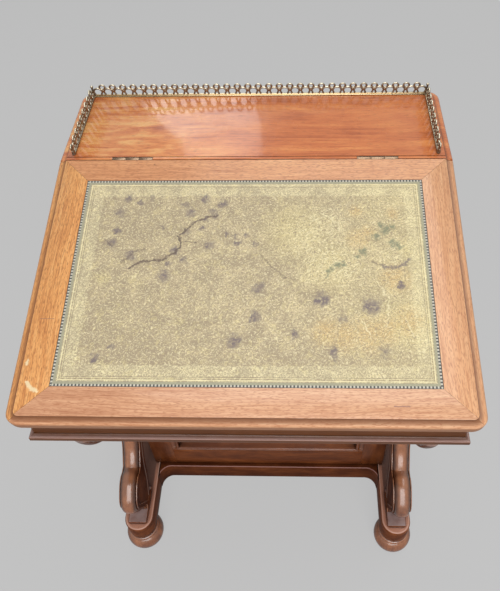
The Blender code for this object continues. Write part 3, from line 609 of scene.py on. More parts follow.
brassLook = dict(
    bright=(0.76, 0.69, 0.53), worn=(0.27, 0.215, 0.15), patina=(0.095, 0.074, 0.052), dulled=0.0,
    reach=0.005)
railBrassLook = dict(
    brassLook, bright=(0.68, 0.56, 0.36), worn=(0.58, 0.46, 0.29), dulled=-0.45, reach=0.003)
hingeBrassLook = dict(
    bright=(0.3, 0.205, 0.135), worn=(0.25, 0.165, 0.105), patina=(0.12, 0.073, 0.045), dulled=0.05,
    reach=0.003)


def makeBrass(name, look):
    material, shader = newMaterial(name)
    coords = localSpace()
    cloud, grit = noise(coords, 150, 4, 0.6), noise(coords, 900)
    # tops rubbed bright by handling, and lighter still as a painted highlight
    sheenAndWear = spread(plus(normalAxes()[2], waver(cloud, 0.8)), 0.3, 1.0)
    dull = plus(plus(openness(look["reach"], 12), waver(cloud, 0.7)), times(sheenAndWear, 0.3))
    dull = spread(dull, 0.55 + look["dulled"], 1.0 + look["dulled"], 1, 0)
    colour = blendIn(sheenAndWear, look["worn"], look["bright"])
    wire(shader, {"Base Color": blendIn(times(dull, 0.9), colour, look["patina"]),
                  "Metallic": spread(dull, 0, 1, 1, 0.35),
                  "Roughness": spread(plus(dull, times(grit, 0.3)), 0, 1.2, 0.26, 0.6),
                  "Normal": bump(grit, 0.2, 0.0001)})
    return material


galleryBrass = makeBrass("gallery_brass", brassLook)
railBrass = makeBrass("gallery_rail_brass", railBrassLook)
hingeBrass = makeBrass("hinge_brass", hingeBrassLook)
print("woods and brass made")

# Lid and shelf: one moulded slab each, the lid sawn into four mitred members
top = dict(
    hingeY=0.102565, axisZ=0.7741, halfWidth=0.266, thick=0.022, flat=0.0012, lidLength=0.3673,
    shelfDepth=0.1517, nose=0.0115, frontNose=0.82, corner=0.0065, stile=0.0363, spare=0.03,
    frontRail=0.0348, backRail=0.0376, hingeGap=0.0027, kerf=0.00012, undercut=0.004, lip=0.0017,
    lipThick=0.004, lipRound=0.0008, shelfFace=0.00265, beadLine=0.0034, beadHalf=0.0006, beadWall=0.0002,
    beadDeep=0.0022)
hinge = dict(
    x=0.172, length=0.057, radius=0.0024, leaf=0.0012, drop=0.015, cover=0.0013, screw=0.0021,
    screwOut=0.0005, screwDrop=0.0088, nick=0.0003, screws=(-0.0205, 0.0, 0.0205), slot=0.02,
    plateEdge=0.0002, barrelEdge=0.0003, web=(0.0016, 0.0022), nickLong=0.003)
past = 0.4  # how far a saw runs past the wood
# Edge section as (out from the flat, up from the flat), from the nose inwards
edgeSection = mm(
    (11.5, -13.2), (11.5, -9.0), (11.3, -7.4), (10.7, -6.1), (9.7, -5.1), (8.4, -4.4), (7.0, -3.9),
    (5.4, -3.6), (3.8, -3.35), (2.2, -3.15), (1.0, -3.0), (0.6, -2.8), (0.5, -0.8), (0.3, -0.2), (0, 0))
edgeSteps = [(out - nextOut, nextUp - up)
             for (out, up), (nextOut, nextUp) in zip(edgeSection, edgeSection[1:])]
lidAxis = Vector((0, top["hingeY"], top["axisZ"]))
halfWidth, lidFront = top["halfWidth"], -top["lidLength"]
panelHalf, panelFront = halfWidth - top["stile"], lidFront + top["frontRail"]
mitreLines = dict(
    front=((panelHalf, panelFront), (halfWidth, lidFront)),
    back=((panelHalf, -top["backRail"]), (halfWidth, -top["hingeGap"])))
mortiseHalf, mortiseDeep = hinge["length"] / 2 + gap, top["hingeGap"] + hinge["leaf"] + gap


def mouldedSlab(name, length, away, flatHigh):  # away is -1 for the lid, 1 for the shelf
    half, underside = halfWidth + top["nose"], flatHigh - top["thick"]
    slab = addBlock(name, (-half, away * (length + top["nose"]), underside),
                    (half, -away * top["spare"], flatHigh + edgeSection[0][1]))
    roundEdges(slab, lambda e: runsAlong(e, 2) and mid(e).y * away > 0, top["corner"] + top["nose"], 10)
    insetFace(slab, facing(zAxis), *edgeSteps)
    roundEdges(slab, lambda e: at(e, z=underside), top["undercut"])
    return slab


def mitrePlane(end, side, keep):  # faces away from the piece that is kept
    start, tip = [Vector((side * x, y, 0)) for x, y in mitreLines[end]]
    normal = Vector((tip.y - start.y, start.x - tip.x, 0)).normalized()
    if normal.dot(keep - start) > 0:
        normal.negate()
    return start - normal * top["kerf"], normal


def mortise(piece, *cuts):  # at both hinges, each cut as two corners of (depth, height)
    for side in (-1, 1):
        for corner, opposite in cuts:
            x = side * hinge["x"]
            sawOut(piece, (x - mortiseHalf, *corner), (x + mortiseHalf, *opposite))


def layOnSlope(piece):
    return moved(piece, lidAxis, (slope, 0, 0))


slab = mouldedSlab("lid_slab", top["lidLength"], -1, top["flat"])
# The nose is a little shorter at the front
stretch(slab, (1, top["frontNose"], 1), (0, lidFront, 0), lambda v: v.co.y < lidFront - 0.0001)
cutAway(slab, (0, -top["hingeGap"], 0), yAxis)
members = [("lid_front_rail", (0, panelFront, 0), yAxis, ["front"], [-1, 1], railWood),
           ("lid_back_rail", (0, -top["backRail"], 0), -yAxis, ["back"], [-1, 1], backRailWood),
           ("lid_left_stile", (-panelHalf, lidFront / 2, 0), xAxis, ["front", "back"], [-1], stileWood),
           ("lid_right_stile", (panelHalf, lidFront / 2, 0), -xAxis, ["front", "back"], [1], sheenStileWood)]
for node, line, inward, ends, flanks, wood in members:
    member = copyOf(slab, node + "_visual")
    cutAway(member, line, inward)
    for end in ends:
        for side in flanks:
            cutAway(member, *mitrePlane(end, side, Vector(line) - inward * top["spare"]))
    if node == "lid_back_rail":
        mortise(member, ((-mortiseDeep, -hinge["drop"] - gap), (past, -hinge["cover"])))
    settle(layOnSlope(member), wood, node, body="lid", slot="polished_mahogany")
    if node == "lid_front_rail":  # the moulded edge has lost its polish
        addFinish(member, railEdgeWood,
                  lambda f: (tilt.inverted() @ (f.center - lidAxis)).z < top["flat"] - 0.0002)
discard(slab)

shelf = mouldedSlab("shelf_visual", top["shelfDepth"], 1, 0.0)
cutAway(shelf, (0, -top["lip"], 0), -yAxis)
for side in (-1, 1):
    for wall in (0.0, top["beadWall"]):
        scoreLine(shelf, (0, top["beadLine"] + side * (top["beadHalf"] - wall), 0), yAxis)
shift(shelf, lambda v: abs(v.co.y - top["beadLine"]) < top["beadHalf"] - 0.0001 and v.co.z > -0.0001,
      (0, 0, -top["beadDeep"]))
roundEdges(shelf, lambda e: at(e, y=-top["lip"], z=0), top["lipRound"], 3)
sawOut(shelf, (-past, -past, -past), (past, top["shelfFace"], -top["lipThick"]))
mortise(shelf, ((-past, -hinge["drop"] - top["flat"] - gap), (mortiseDeep, -top["flat"] - hinge["cover"])),
        ((-past, -hinge["slot"]), (top["hingeGap"], past)))
moved(shelf, lidAxis + zAxis * top["flat"])
settle(shelf, shelfWood, "shelf", slot="polished_mahogany")
print("lid frame and shelf made")

# Leather writing surface, with the tooled lines pressed in, each as (distance from the last, width)
leather = dict(
    half=0.2294, front=-0.3322, back=-0.0379, low=0.0, high=0.001, press=0.00015, wall=0.0002,
    margin=0.0004, lines=mm((5.0, 0.5), (3.3, 0.6), (11.5, 0.4)), edge=0.0002)
hide = addBlock("leather_visual", (-leather["half"], leather["front"], leather["low"]),
                (leather["half"], leather["back"], leather["high"]))
wall, press = leather["wall"], leather["press"]
pressed = [(leather["margin"], 0)]
for before, width in leather["lines"]:
    pressed += [(before, 0), (wall, -press), (width, 0), (wall, press)]
insetFace(hide, facing(zAxis), *pressed)
layOnSlope(soften(hide, leather["edge"], angle=60))

# Worn places on the lid, each as (x, y, radius) in millimetres
wornSpots = dict(
    ink=[(-169, -68, 7), (-151, -73, 6), (-137, -67, 5), (-176, -91, 10), (-177, -118, 6),
        (-117, -113, 5), (-90, -78, 7), (-83, -91, 8), (-64, -67, 8), (-40, -78, 8), (-184, -139, 10),
        (-109, -186, 10), (-105, -169, 6), (-85, -164, 7), (-53, -141, 8), (-65, -115, 5), (-31, -124, 5),
        (-19, -126, 4), (-6, -124, 5), (-17, -137, 6), (6, -138, 6), (10, -203, 10), (10, -243, 9),
        (-180, -297, 7), (-163, -283, 5), (-12, -275, 7), (-156, -154, 9), (91, -219, 13),
        (153, -226, 15), (190, -199, 6), (165, -287, 8), (118, -244, 6), (106, -290, 8), (58, -264, 6),
        (-98, -148, 8), (-61, -101, 5), (-50, -92, 9), (-85, -120, 6), (-15, -275, 10)],
    rust=[(139, -131, 20), (152, -121, 13), (138, -90, 13), (186, -93, 11), (184, -190, 26),
        (96, -263, 24), (118, -268, 28), (145, -266, 30), (168, -258, 26), (196, -248, 26)],
    cream=[(97, -108, 36), (78, -133, 34), (103, -158, 36), (124, -176, 30), (88, -172, 30),
        (182, -152, 22)],
    gold=[(-188, -189, 13), (192, -252, 40), (60, -120, 60), (100, -170, 50), (200, -145, 16)],
    dull=[(-150, -105, 60), (-175, -255, 45), (-120, -275, 50), (20, -80, 50), (35, -170, 40),
        (90, -302, 36), (80, -76, 28), (118, -78, 24)],
    verdigris=[(170, -109, 6), (176, -118, 8), (185, -112, 5), (185, -138, 8), (191, -143, 6),
        (164, -127, 6), (146, -150, 7), (136, -157, 5), (119, -167, 5), (112, -170, 7), (103, -179, 6),
        (98, -185, 4)])
# Cracks, creases and scratches, each as (colour, half width, strength, points)
crackLine = [
    (-155, -174), (-142, -167), (-111, -161), (-97, -151), (-90, -137), (-96, -127), (-88, -119),
    (-77, -107), (-63, -100), (-46, -94)]
wornLines = [("crackAndShadow", 1.6, 0.6, [(157, -164), (170, -171)]),
             ("ink", 3.4, 0.75, [(171, -172), (180, -174), (189, -173), (197, -169), (204, -161)]),
             ("crackAndShadow", 1.8, 0.5, [(13, -157), (39, -183), (47, -189)]),
             ("crackAndShadow", 2.2, 0.5, [(-165, -166), (-150, -151), (-136, -148)]),
             ("crackAndShadow", 2.0, 0.55, [(-193, -133), (-181, -142)]),
             ("crackAndShadow", 2.4, 0.9, crackLine),
             ("crackAndShadow", 1.7, 0.7, [(-90, -137), (-72, -136)]),
             ("pale", 1.0, 0.6, [(159, -192), (174, -217), (169, -253)]),
             ("pale", 1.4, 0.7, [(141, -249), (149, -265)]),
             ("pale", 1.4, 0.6, [(192, -243), (200, -266)]),
             ("pale", 1.4, 0.6, [(91, -91), (113, -106), (116, -121)])]
# Border, as distances in from the edge of the hide
border = dict(
    strip=0.0062, rope=(0.0004, 0.003), pitch=0.0042, gilt=(0.0074, 0.0088), thinGilt=(0.0108, 0.0114),
    shadow=(0.0116, 0.0122), band=(0.0125, 0.0265))
hideLook = dict(
    base=(0.59, 0.48, 0.295), pale=(0.82, 0.74, 0.47), dull=(0.36, 0.285, 0.19), gold=(0.7, 0.59, 0.28),
    thread=(0.8, 0.69, 0.36), rust=(0.6, 0.4, 0.17), ink=(0.2, 0.16, 0.155), crackAndShadow=(0.15, 0.11, 0.09),
    verdigris=(0.2, 0.22, 0.145), strip=(0.36, 0.35, 0.25), ropeDark=(0.1, 0.098, 0.09),
    ropePale=(0.58, 0.55, 0.46), gilt=(0.92, 0.84, 0.5))


def makeHide(name, look):
    material, shader = newMaterial(name)
    axes = axesOf(localSpace(tilt, lidAxis))
    x, y = axes[0], axes[1]
    flat = addNode("CombineXYZ", {0: x, 1: y}).outputs[0]
    offset = jitter(flat, 130, (0.011, 0.011, 0))
    place = vectorCalc("ADD", flat, offset)
    ragged = vectorCalc("ADD", flat, stretched(offset, (1.8, 1.8, 0)))
    rubbing = stretched(localSpace(tilt @ Matrix.Rotation(math.radians(35), 3, "Z"), lidAxis), (1, 3, 0))
    rubbing = noise(rubbing, 120, 4, 0.7, 0.9)
    cloud = noise(flat, 46, 6, 0.68)
    fleck = noise(place, 470, 4, 0.7)
    vein = noise(place, 95, 4, 0.65, 1.5)
    blotch = spread(noise(flat, 260, 3), 0.30, 0.56, 0.45, 1)
    uneven = times(blotch, spread(noise(flat, 38), 0.38, 0.60, 0.55, 1))

    def worn(kind, where, soft, strength):
        return times(spots(where, wornSpots[kind], soft), strength)

    # worn ground, grey and gold, with the grain of the skin, the strokes of old rubbing and stains
    layers = [(spread(x, -0.18, 0.10, 0.30, 0), look["dull"]),
              (spread(x, 0.02, 0.20, 0, 0.35), look["gold"]),
              (spread(y, -0.24, -0.31, 0, 0.4), look["dull"]),
              (worn("dull", place, 0.2, 0.55), look["dull"]),
              (worn("gold", place, 0.1, 0.55), look["gold"]),
              (worn("rust", place, 0.1, spread(rubbing, 0.38, 0.58, 0.35, 0.95)), look["rust"]),
              (times(spread(vein, 0.50, 0.68), 0.45), look["gold"]),
              (worn("cream", ragged, 0.3, spread(rubbing, 0.50, 0.58, 0, 0.75)), look["pale"]),
              (times(spread(rubbing, 0.53, 0.62, 0, 0.55), spread(cloud, 0.40, 0.60, 0.35, 1)),
               look["thread"]),
              (times(spread(fleck, 0.51, 0.62), 0.72), look["pale"]),
              (times(spread(fleck, 0.51, 0.38), 0.95), look["dull"]),
              (worn("ink", ragged, 0.35, uneven), look["ink"]),
              (worn("verdigris", ragged, 0.3, times(blotch, 0.8)), look["verdigris"])]
    for tint, width, strength, points in wornLines:
        layers.append((times(strokes(place, points, width), times(blotch, strength)), look[tint]))

    # tooled border: rope edge, gilt fillets and a band of small scrolls
    inX = minus(leather["half"], calc("ABSOLUTE", x))
    inY = calc("MINIMUM", minus(y, leather["front"]), minus(leather["back"], y))
    inward = calc("MINIMUM", inX, inY)
    along = addNode("Mix", {0: calc("LESS_THAN", inX, inY), 2: x, 3: y}, data_type="FLOAT").outputs[0]
    curls = addNode("TexVoronoi", {"Vector": flat, "Scale": 210, "Randomness": 0.55}).outputs["Distance"]
    curls = spread(calc("SINE", times(curls, 17)), -0.1, 0.5)
    giltLeft = spread(cloud, 0.32, 0.62, 0.10, 0.44)
    twist = calc("SINE", times(along, math.tau / border["pitch"]))
    rope = within(inward, *border["rope"])
    ropeColour = blendIn(spread(twist, -0.35, 0.35), look["ropeDark"], look["ropePale"])
    gilt = most(within(inward, *border["gilt"]), within(inward, *border["thinGilt"]))
    strip = spread(inward, border["strip"] - 0.0006, border["strip"] + 0.0006, 1, 0)
    layers += [(times(within(inward, *border["band"], 0.0024), 0.10), look["pale"]),
               (times(times(within(inward, *border["band"], 0.0008), curls), giltLeft), look["gilt"]),
               (times(strip, 0.85), look["strip"]),
               (rope, ropeColour),
               (spread(inward, 0.0003, 0.0006, 1, 0), look["ropeDark"]),
               (times(gilt, plus(giltLeft, 0.3)), look["gilt"]),
               # a painted shadow line inside the thin gilt fillet, in the crack colour
               (times(within(inward, *border["shadow"]), 0.5), look["crackAndShadow"])]
    ground = blendIn(spread(cloud, 0.36, 0.66), look["dull"], look["base"])
    skin = addNode("TexVoronoi", {"Vector": place, "Scale": 900}).outputs["Distance"]
    sunk = strokes(place, crackLine, 1.9)
    height = minus(plus(times(skin, 0.5), vein), plus(times(sunk, 3), times(rope, twist)))
    wire(shader, {"Base Color": layered(ground, layers), "Roughness": spread(cloud, 0.3, 0.7, 0.60, 0.46),
                  "Specular IOR Level": 0.25, "Normal": bump(height, 0.3, 0.0003)})
    return material


settle(hide, makeHide("tooled_leather", hideLook), "leather_top", body="lid", slot="leather")
print("leather made")


# Hinges: barrels, leaves and screws
def screwHead(x, y, z, out):
    face = y + out * hinge["screwOut"]
    head = addRod("screw", (x, y, z), (x, face, z), hinge["screw"], 20)
    return sawOut(head, (x - hinge["nickLong"], (y + face) / 2, z - hinge["nick"]),
                  (x + hinge["nickLong"], face + out * hinge["screwOut"], z + hinge["nick"]))


def hingeLeaf(name, x, out, barrels):
    inner, outer = out * top["hingeGap"], out * (top["hingeGap"] + hinge["leaf"])
    webFrom, webDrop = hinge["web"]
    plate = addBlock(name, (x - hinge["length"] / 2, inner, -hinge["drop"]),
                     (x + hinge["length"] / 2, outer, -hinge["cover"] - hinge["plateEdge"]))
    work = [soften(plate, hinge["plateEdge"])]
    for start, end in barrels:
        barrel = addRod("barrel", (x + start, 0, 0), (x + end, 0, 0), hinge["radius"])
        work.append(soften(barrel, hinge["barrelEdge"]))
        work.append(addBlock("web", (x + start, out * webFrom, -webDrop),
                             (x + end, (inner + outer) / 2, -hinge["cover"] - gap)))
    for place in hinge["screws"]:
        work.append(screwHead(x + place, inner + out * lap, -hinge["screwDrop"], -out))
    return joined(name, work)


knuckle = hinge["length"] / 6  # half of one of the three
for side, name in bothSides:
    x = side * hinge["x"]
    fixed = hingeLeaf(name + "_shelf_leaf_visual", x, 1, [(-3 * knuckle, -knuckle), (knuckle, 3 * knuckle)])
    settle(moved(fixed, lidAxis), hingeBrass, name + "_hinge_shelf_leaf", slot="brass")
    swinging = hingeLeaf(name + "_lid_leaf_visual", x, -1, [(-knuckle + gap, knuckle - gap)])
    settle(layOnSlope(swinging), hingeBrass, name + "_hinge_lid_leaf", body="lid", slot="brass")
    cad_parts[name + "_hinge_pin"].material_slots[0].material = hingeBrass
print("hinges made")

# Gallery: posts with rings and arches between them, modelled once and set out along the three runs
gallery = dict(
    x=0.2575, front=0.1126, back=0.2524, low=0.7756, height=0.0204, pitch=0.016, wire=0.0015, rail=0.0026,
    railThick=0.0026, flange=0.003, sideFlange=0.0018, flangeThick=0.001, edge=0.0006, spring=0.0066,
    ring=0.0037, ringDrop=0.0051, knot=0.009, endHigh=0.015, curls=mm((12.5, 4.0), (6.0, 2.8)),
    curlWire=0.001, curlPast=0.0005, railPast=0.001, ringStretch=(1.14, 1, 1), knotStretch=(1.1, 0.6, 1),
    bendAt=(0.0038, 0.0052), bends=mm((5.6, 0.7), (4.2, 0.8)))
# Turned shapes as (radius, height)
knotShape = mm((0, 3.4), (1.4, 2.8), (2.3, 1.2), (2.4, -0.6), (1.7, -2.2), (0, -2.9))
postShape = mm(
    (0, 18.2), (1.4, 17.9), (2.2, 16.8), (2.2, 15.6), (1.6, 14.8), (1.8, 7.0), (2.3, 6.0), (2.3, 4.0),
    (2.6, 3.0), (2.6, 0), (0, 0))


def ringPost():  # a ring over a knot that ties two arches together
    ringAt, knotAt = (0, 0, gallery["height"] - gallery["ringDrop"]), (0, 0, gallery["knot"])
    ring = addHoop("ring", ringAt, gallery["ring"], gallery["wire"] * 0.9)
    stretch(ring, gallery["ringStretch"], ringAt)
    knot = turnOnLathe("knot", knotShape, knotAt, 12)
    stretch(knot, gallery["knotStretch"], knotAt)
    return joined("ring_post", [ring, knot])


def archSpan(pitch):  # a horseshoe arch on two feet
    half, spring, thin = pitch / 2 - gallery["wire"], gallery["spring"], gallery["wire"]
    work = [addHoop("arch", (0, 0, spring), half, thin)]
    cutAway(work[0], (0, 0, spring), -zAxis)
    for side in (-1, 1):
        x = side * half
        leg = addRod("leg", (x, 0, gallery["rail"] - gallery["edge"]), (x, 0, spring + lap), thin, 8)
        for height in gallery["bendAt"]:
            scoreLine(leg, (0, 0, height), zAxis)
        for below, inwards in gallery["bends"]:
            shift(leg, lambda v: v.co.z < below, (-side * inwards, 0, 0))
        work.append(leg)
    return joined("arch_span", work)


def cornerPost(name, x, y):
    return turnOnLathe(name, postShape, (x, y, gallery["low"]), 16)


def railBar(name, corner, opposite):
    return soften(addBlock(name, corner, opposite), gallery["edge"], 3)


sideX, front, back, low = [gallery[key] for key in ("x", "front", "back", "low")]
posts = ringPost()
brassWork = []
corners = [(-sideX, front), (-sideX, back), (sideX, back), (sideX, front)]
for (x0, y0), (x1, y1) in zip(corners, corners[1:]):
    length, heading = math.hypot(x1 - x0, y1 - y0), math.atan2(y1 - y0, x1 - x0)
    units = round(length / gallery["pitch"])
    arches = archSpan(length / units)
    for step in range(1, 2 * units):  # an arch at each half pitch, a post at each whole one
        ahead = step / 2 * length / units
        place = (x0 + ahead * math.cos(heading), y0 + ahead * math.sin(heading), low)
        brassWork.append(moved(copyOf(arches if step % 2 else posts, "unit"), place, (0, 0, heading)))
    discard(arches)
discard(posts)
thick, railTop, flangeTop = gallery["railThick"] / 2, low + gallery["rail"], low + gallery["flangeThick"]
railWork = [railBar("rail", (-sideX, back - thick, low), (sideX, back + thick, railTop)),
            railBar("flange", (-sideX, back - gallery["flange"], low), (sideX, back, flangeTop))]
for side in (-1, 1):
    x, inner = side * sideX, side * (sideX - gallery["sideFlange"])
    railFront = front - gallery["railPast"]
    brassWork += [railBar("rail", (x - thick, railFront, low), (x + thick, back + thick, railTop)),
                  railBar("flange", (x, front, low), (inner, back, flangeTop)),
                  cornerPost("corner", x, back), cornerPost("end", x, front)]
    cutAway(brassWork[-1], (0, 0, low + gallery["endHigh"]), zAxis)
    for height, radius in gallery["curls"]:  # little scroll before each end post
        curl = addHoop("curl", (0, 0, low + height), radius, gallery["curlWire"], 20)
        brassWork.append(moved(curl, (x, front - gallery["curlPast"], 0), (0, 0, quarter)))
settle(joined("gallery_visual", brassWork), galleryBrass, "brass_gallery", slot="brass", smooth=50)
settle(joined("gallery_rail_visual", railWork), railBrass, slot="brass", smooth=50)
print("gallery made")

# Writing box: front, sides, back and the cove moulding round its foot
box = dict(
    half=0.264, front=-0.24634, back=0.251765, low=0.6293, moulding=(0.006, 0.0078), cove=0.0016,
    hang=0.0056, edge=0.0006, nosing=0.0009, spare=0.02)
# Cove as (share of its depth, share of its height)
coveShape = ((0.0, 1.0), (0.2, 0.5), (0.4, 0.2), (0.7, 0.04))
underLid = lidAxis + tilt @ Vector((0, 0, top["flat"] - top["thick"] - gap))
for node, finish in (("box_front", boxWoodX), ("box_left_side", boxWoodY), ("box_right_side", boxWoodY),
                     ("box_back", boxWoodX)):
    board = nodeBlock(node + "_visual", node)
    if node != "box_back":  # the top follows the lid's underside
        cutAway(board, underLid, tilt @ zAxis)
    settle(soften(board, box["edge"]), finish, node, slot="polished_mahogany")


def coveStrip(name, lowEnd, highEnd):  # along X in front of the line y = 0
    deep, high = box["moulding"]
    strip = addBlock(name, (lowEnd, -deep, 0), (highEnd, -gap, high))
    for part, lift in coveShape[1:]:
        scoreLine(strip, (0, -deep * part, 0), yAxis)
    for part, lift in coveShape:
        line = -max(deep * part, gap)
        shift(strip, lambda v: v.co.z > high - near and abs(v.co.y - line) < near,
              (0, 0, box["cove"] * lift))
    roundEdges(strip, lambda e: runsAlong(e, 0) and abs(mid(e).y + deep) < near, box["nosing"], 3)
    return strip


mouldingLow = box["low"] - box["hang"]
strip = coveStrip("box_moulding_front", -box["half"] - box["spare"], box["half"] + box["spare"])
for side in (-1, 1):
    cutAway(strip, (side * box["half"], 0, 0), (side, 1, 0))
moved(strip, (0, box["front"], mouldingLow))
settle(strip, mouldingWoodX, "box_moulding", slot="polished_mahogany", smooth=50)
for side, name in bothSides:
    strip = coveStrip("box_moulding_" + name, -box["spare"], box["back"] - box["front"])
    cutAway(strip, (0, 0, 0), (-1, 1, 0))
    if side < 0:
        take(strip)
        bpy.ops.transform.mirror(constraint_axis=(True, False, False), center_override=(0, 0, 0))
        fixPlace()
        cleanUp(strip)
    moved(strip, (side * box["half"], box["front"], mouldingLow), (0, 0, side * quarter))
    settle(strip, mouldingWoodY, slot="polished_mahogany", smooth=50)
print("writing box made")

# Base: runners with round ends, a front rail with hollow corners, bun feet
base = dict(
    low=0.05, high=0.095, runnerX=0.2497, runnerHalf=0.0277, runnerFront=-0.18684, back=0.251765,
    railFront=-0.05704, railDeep=0.06, hollow=0.023, tip=0.0004, topRound=0.005, lowRound=0.0015,
    railRound=0.0035, front=-0.15914, rear=0.215765)
footShape = mm(
    (0, 49.7), (26.8, 49.7), (28.6, 49.0), (30.0, 47.4), (30.2, 45.6), (29.7, 43.8), (28.4, 42.4),
    (27.6, 41.6), (27.5, 40.4), (29.2, 39.2), (31.5, 37.0), (33.8, 33.6), (35.4, 29.2), (36.1, 24.4),
    (36.2, 20.0), (35.6, 15.2), (34.4, 10.4), (32.6, 6.0), (30.2, 2.2), (28.2, 0.3), (27.2, 0), (0, 0))
for side, name in bothSides:
    x = side * base["runnerX"]
    runner = addBlock(name + "_runner_visual", (x - base["runnerHalf"], base["runnerFront"], base["low"]),
                      (x + base["runnerHalf"], base["back"], base["high"]))
    roundEdges(runner, lambda e: runsAlong(e, 2) and mid(e).y < 0, base["runnerHalf"] - 0.00005, 12)
    roundEdges(runner, lambda e: at(e, z=base["high"]), base["topRound"], 5)
    roundEdges(runner, lambda e: at(e, z=base["low"]), base["lowRound"], 2)
    settle(runner, runnerWood, name + "_runner")

railHalf, railFront, tip = base["runnerX"] - base["runnerHalf"] - gap, base["railFront"], base["tip"]
rail = addBlock("plinth_rail_visual", (-railHalf, railFront, base["low"]),
                (railHalf, railFront + base["railDeep"], base["high"]))
for x in (-railHalf + tip, railHalf - tip):
    scoreLine(rail, (x, 0, 0), xAxis)
pick(rail, "FACE", lambda f: f.normal.y < -0.9 and abs(mid(f).x) > railHalf - tip)
extrude((0, -base["hollow"] - tip, 0))
bpy.ops.mesh.select_all(action="SELECT")
bpy.ops.mesh.remove_doubles(threshold=near)
roundEdges(rail, lambda e: runsAlong(e, 2) and abs(abs(mid(e).x) - railHalf + tip) < near
           and abs(mid(e).y - railFront) < near, base["hollow"], 14)
roundEdges(rail, lambda e: at(e, z=base["high"]) and len(e.link_faces) == 2
           and min(f.normal.z for f in e.link_faces) < 0.5 and mid(e).y < railFront + 0.002
           and abs(mid(e).x) < railHalf - 2 * tip, base["railRound"])
settle(rail, plinthWood, "plinth_front_rail")
settle(soften(nodeBlock("plinth_back_visual", "plinth_back_rail"), 0.001), darkWoodX, "plinth_back_rail")

bun = turnOnLathe("bun_foot", footShape, (0, 0, 0), 56)
for side, name in bothSides:
    # the back feet take the darker copy, painted shade
    for end, y, wood in (("front", base["front"], footWood), ("back", base["rear"], shadedWood)):
        foot = moved(copyOf(bun, f"{end}_{name}_foot_visual"), (side * base["runnerX"], y, 0))
        settle(foot, wood, f"{end}_{name}_foot", smooth=40)
discard(bun)
print("base made")

# Scroll supports: the outline is swept across the width with a reed between two fillets
scroll = dict(
    blockFront=-0.17354, blockTop=0.1016, boxLow=0.629, sideInset=0.0055, sideDeep=0.0014,
    blockEdge=0.0014)
# (behind the block's front, height, smooth): the foot above the block, the knee below the box
footKnots = [
    (0.09, 0.209, True), (0.092, 0.159, True), (0.06, 0.117, False), (0.042, 0.1225, True),
    (0.012, 0.11, True), (-0.008, 0.081, True), (0.003, 0.044, True), (0.026, 0.0, False),
    (0.066, 0.0, False), (0.084, 0.034, True), (0.101, 0.089, True), (0.13, 0.149, True),
    (0.134, 0.209, True)]
kneeKnots = [
    (0.103, -0.232, True), (0.046, -0.14, True), (0.026, -0.07, True), (0.042, 0.0, False),
    (-0.014, 0.0, False), (-0.0295, -0.08, True), (-0.0165, -0.15, True), (0.046, -0.245, True)]
# Section across the width as (from the middle, sunk below the outline)
reedSection = mm(
    (17.0, 11.2), (16.8, 10.2), (16.4, 9.6), (15.8, 9.3), (15.0, 9.3), (14.6, 10.0), (14.2, 10.5),
    (13.9, 9.2), (13.4, 7.2), (12.4, 5.2), (10.8, 3.4), (8.8, 2.0), (6.6, 1.0), (4.2, 0.4), (2.0, 0.1),
    (0, 0))


def scrollOutline():
    deselect()
    bpy.ops.curve.primitive_bezier_circle_add()
    curve = bpy.context.object
    curve.data.dimensions, curve.data.resolution_u, curve.data.fill_mode = "2D", 9, "NONE"
    knots = [(y, scroll["blockTop"] + z, smooth) for y, z, smooth in footKnots]
    knots += [(y, scroll["boxLow"] + z, smooth) for y, z, smooth in kneeKnots]
    line = curve.data.splines[0]
    line.bezier_points.add(len(knots) - len(line.bezier_points))
    for knot, (y, z, smooth) in zip(line.bezier_points, knots):
        knot.co = (scroll["blockFront"] + y, z, 0)
        knot.handle_left_type = knot.handle_right_type = "AUTO" if smooth else "VECTOR"
    take(curve)
    bpy.ops.object.convert(target="MESH")
    outline = [Vector(v.co[:2]) for v in bpy.context.object.data.vertices]
    discard(bpy.context.object)
    return outline


def sweepScroll(name, points, x):
    count, low, high = len(points), scroll["blockTop"], scroll["boxLow"]
    area = sum(a.x * b.y - b.x * a.y for a, b in zip(points, points[1:] + points[:1]))
    normals = []
    for i in range(count):
        along = (points[(i + 1) % count] - points[i - 1]).normalized()
        normals.append(Vector((along.y, -along.x)) * math.copysign(1, area))
    across = [(-off, sunk) for off, sunk in reedSection] + list(reversed(reedSection[:-1]))
    shape = bmesh.new()
    rings = []
    for off, sunk in across:
        ring = []
        for point, normal in zip(points, normals):
            place = point - normal * sunk
            seated = min(abs(point.y - low), abs(point.y - high)) < 0.0002
            height = point.y if seated else min(max(place.y, low), high)
            ring.append(shape.verts.new((x + off, place.x, height)))
        rings.append(ring)
    for here, there in zip(rings, rings[1:]):
        for i in range(count):
            j = (i + 1) % count
            shape.faces.new((here[i], here[j], there[j], there[i]))
    for ring in (rings[0], rings[-1]):
        shape.faces.new(ring)
    bmesh.ops.recalc_face_normals(shape, faces=shape.faces[:])
    mesh = bpy.data.meshes.new(name)
    shape.to_mesh(mesh)
    shape.free()
    piece = bpy.data.objects.new(name, mesh)
    bpy.context.scene.collection.objects.link(piece)
    insetFace(piece, lambda f: abs(f.normal.x) > 0.99 and len(f.verts) > 20, (scroll["sideInset"], 0),
              (scroll["sideDeep"], -scroll["sideDeep"]))
    return piece


outline = scrollOutline()
for side, name in bothSides:
    support = sweepScroll(name + "_scroll_visual", outline, side * base["runnerX"])
    settle(support, scrollWood, name + "_scroll_support", smooth=32)
    # flanks and undersides take the darker copy, painted shade
    addFinish(support, shadedWood, lambda f: abs(f.normal.x) > 0.9 or f.normal.z < -0.25)
    block = nodeBlock(name + "_block_visual", name + "_support_block")
    settle(soften(block, scroll["blockEdge"], 3), dustAndSheenWood, name + "_support_block")
print("supports made")

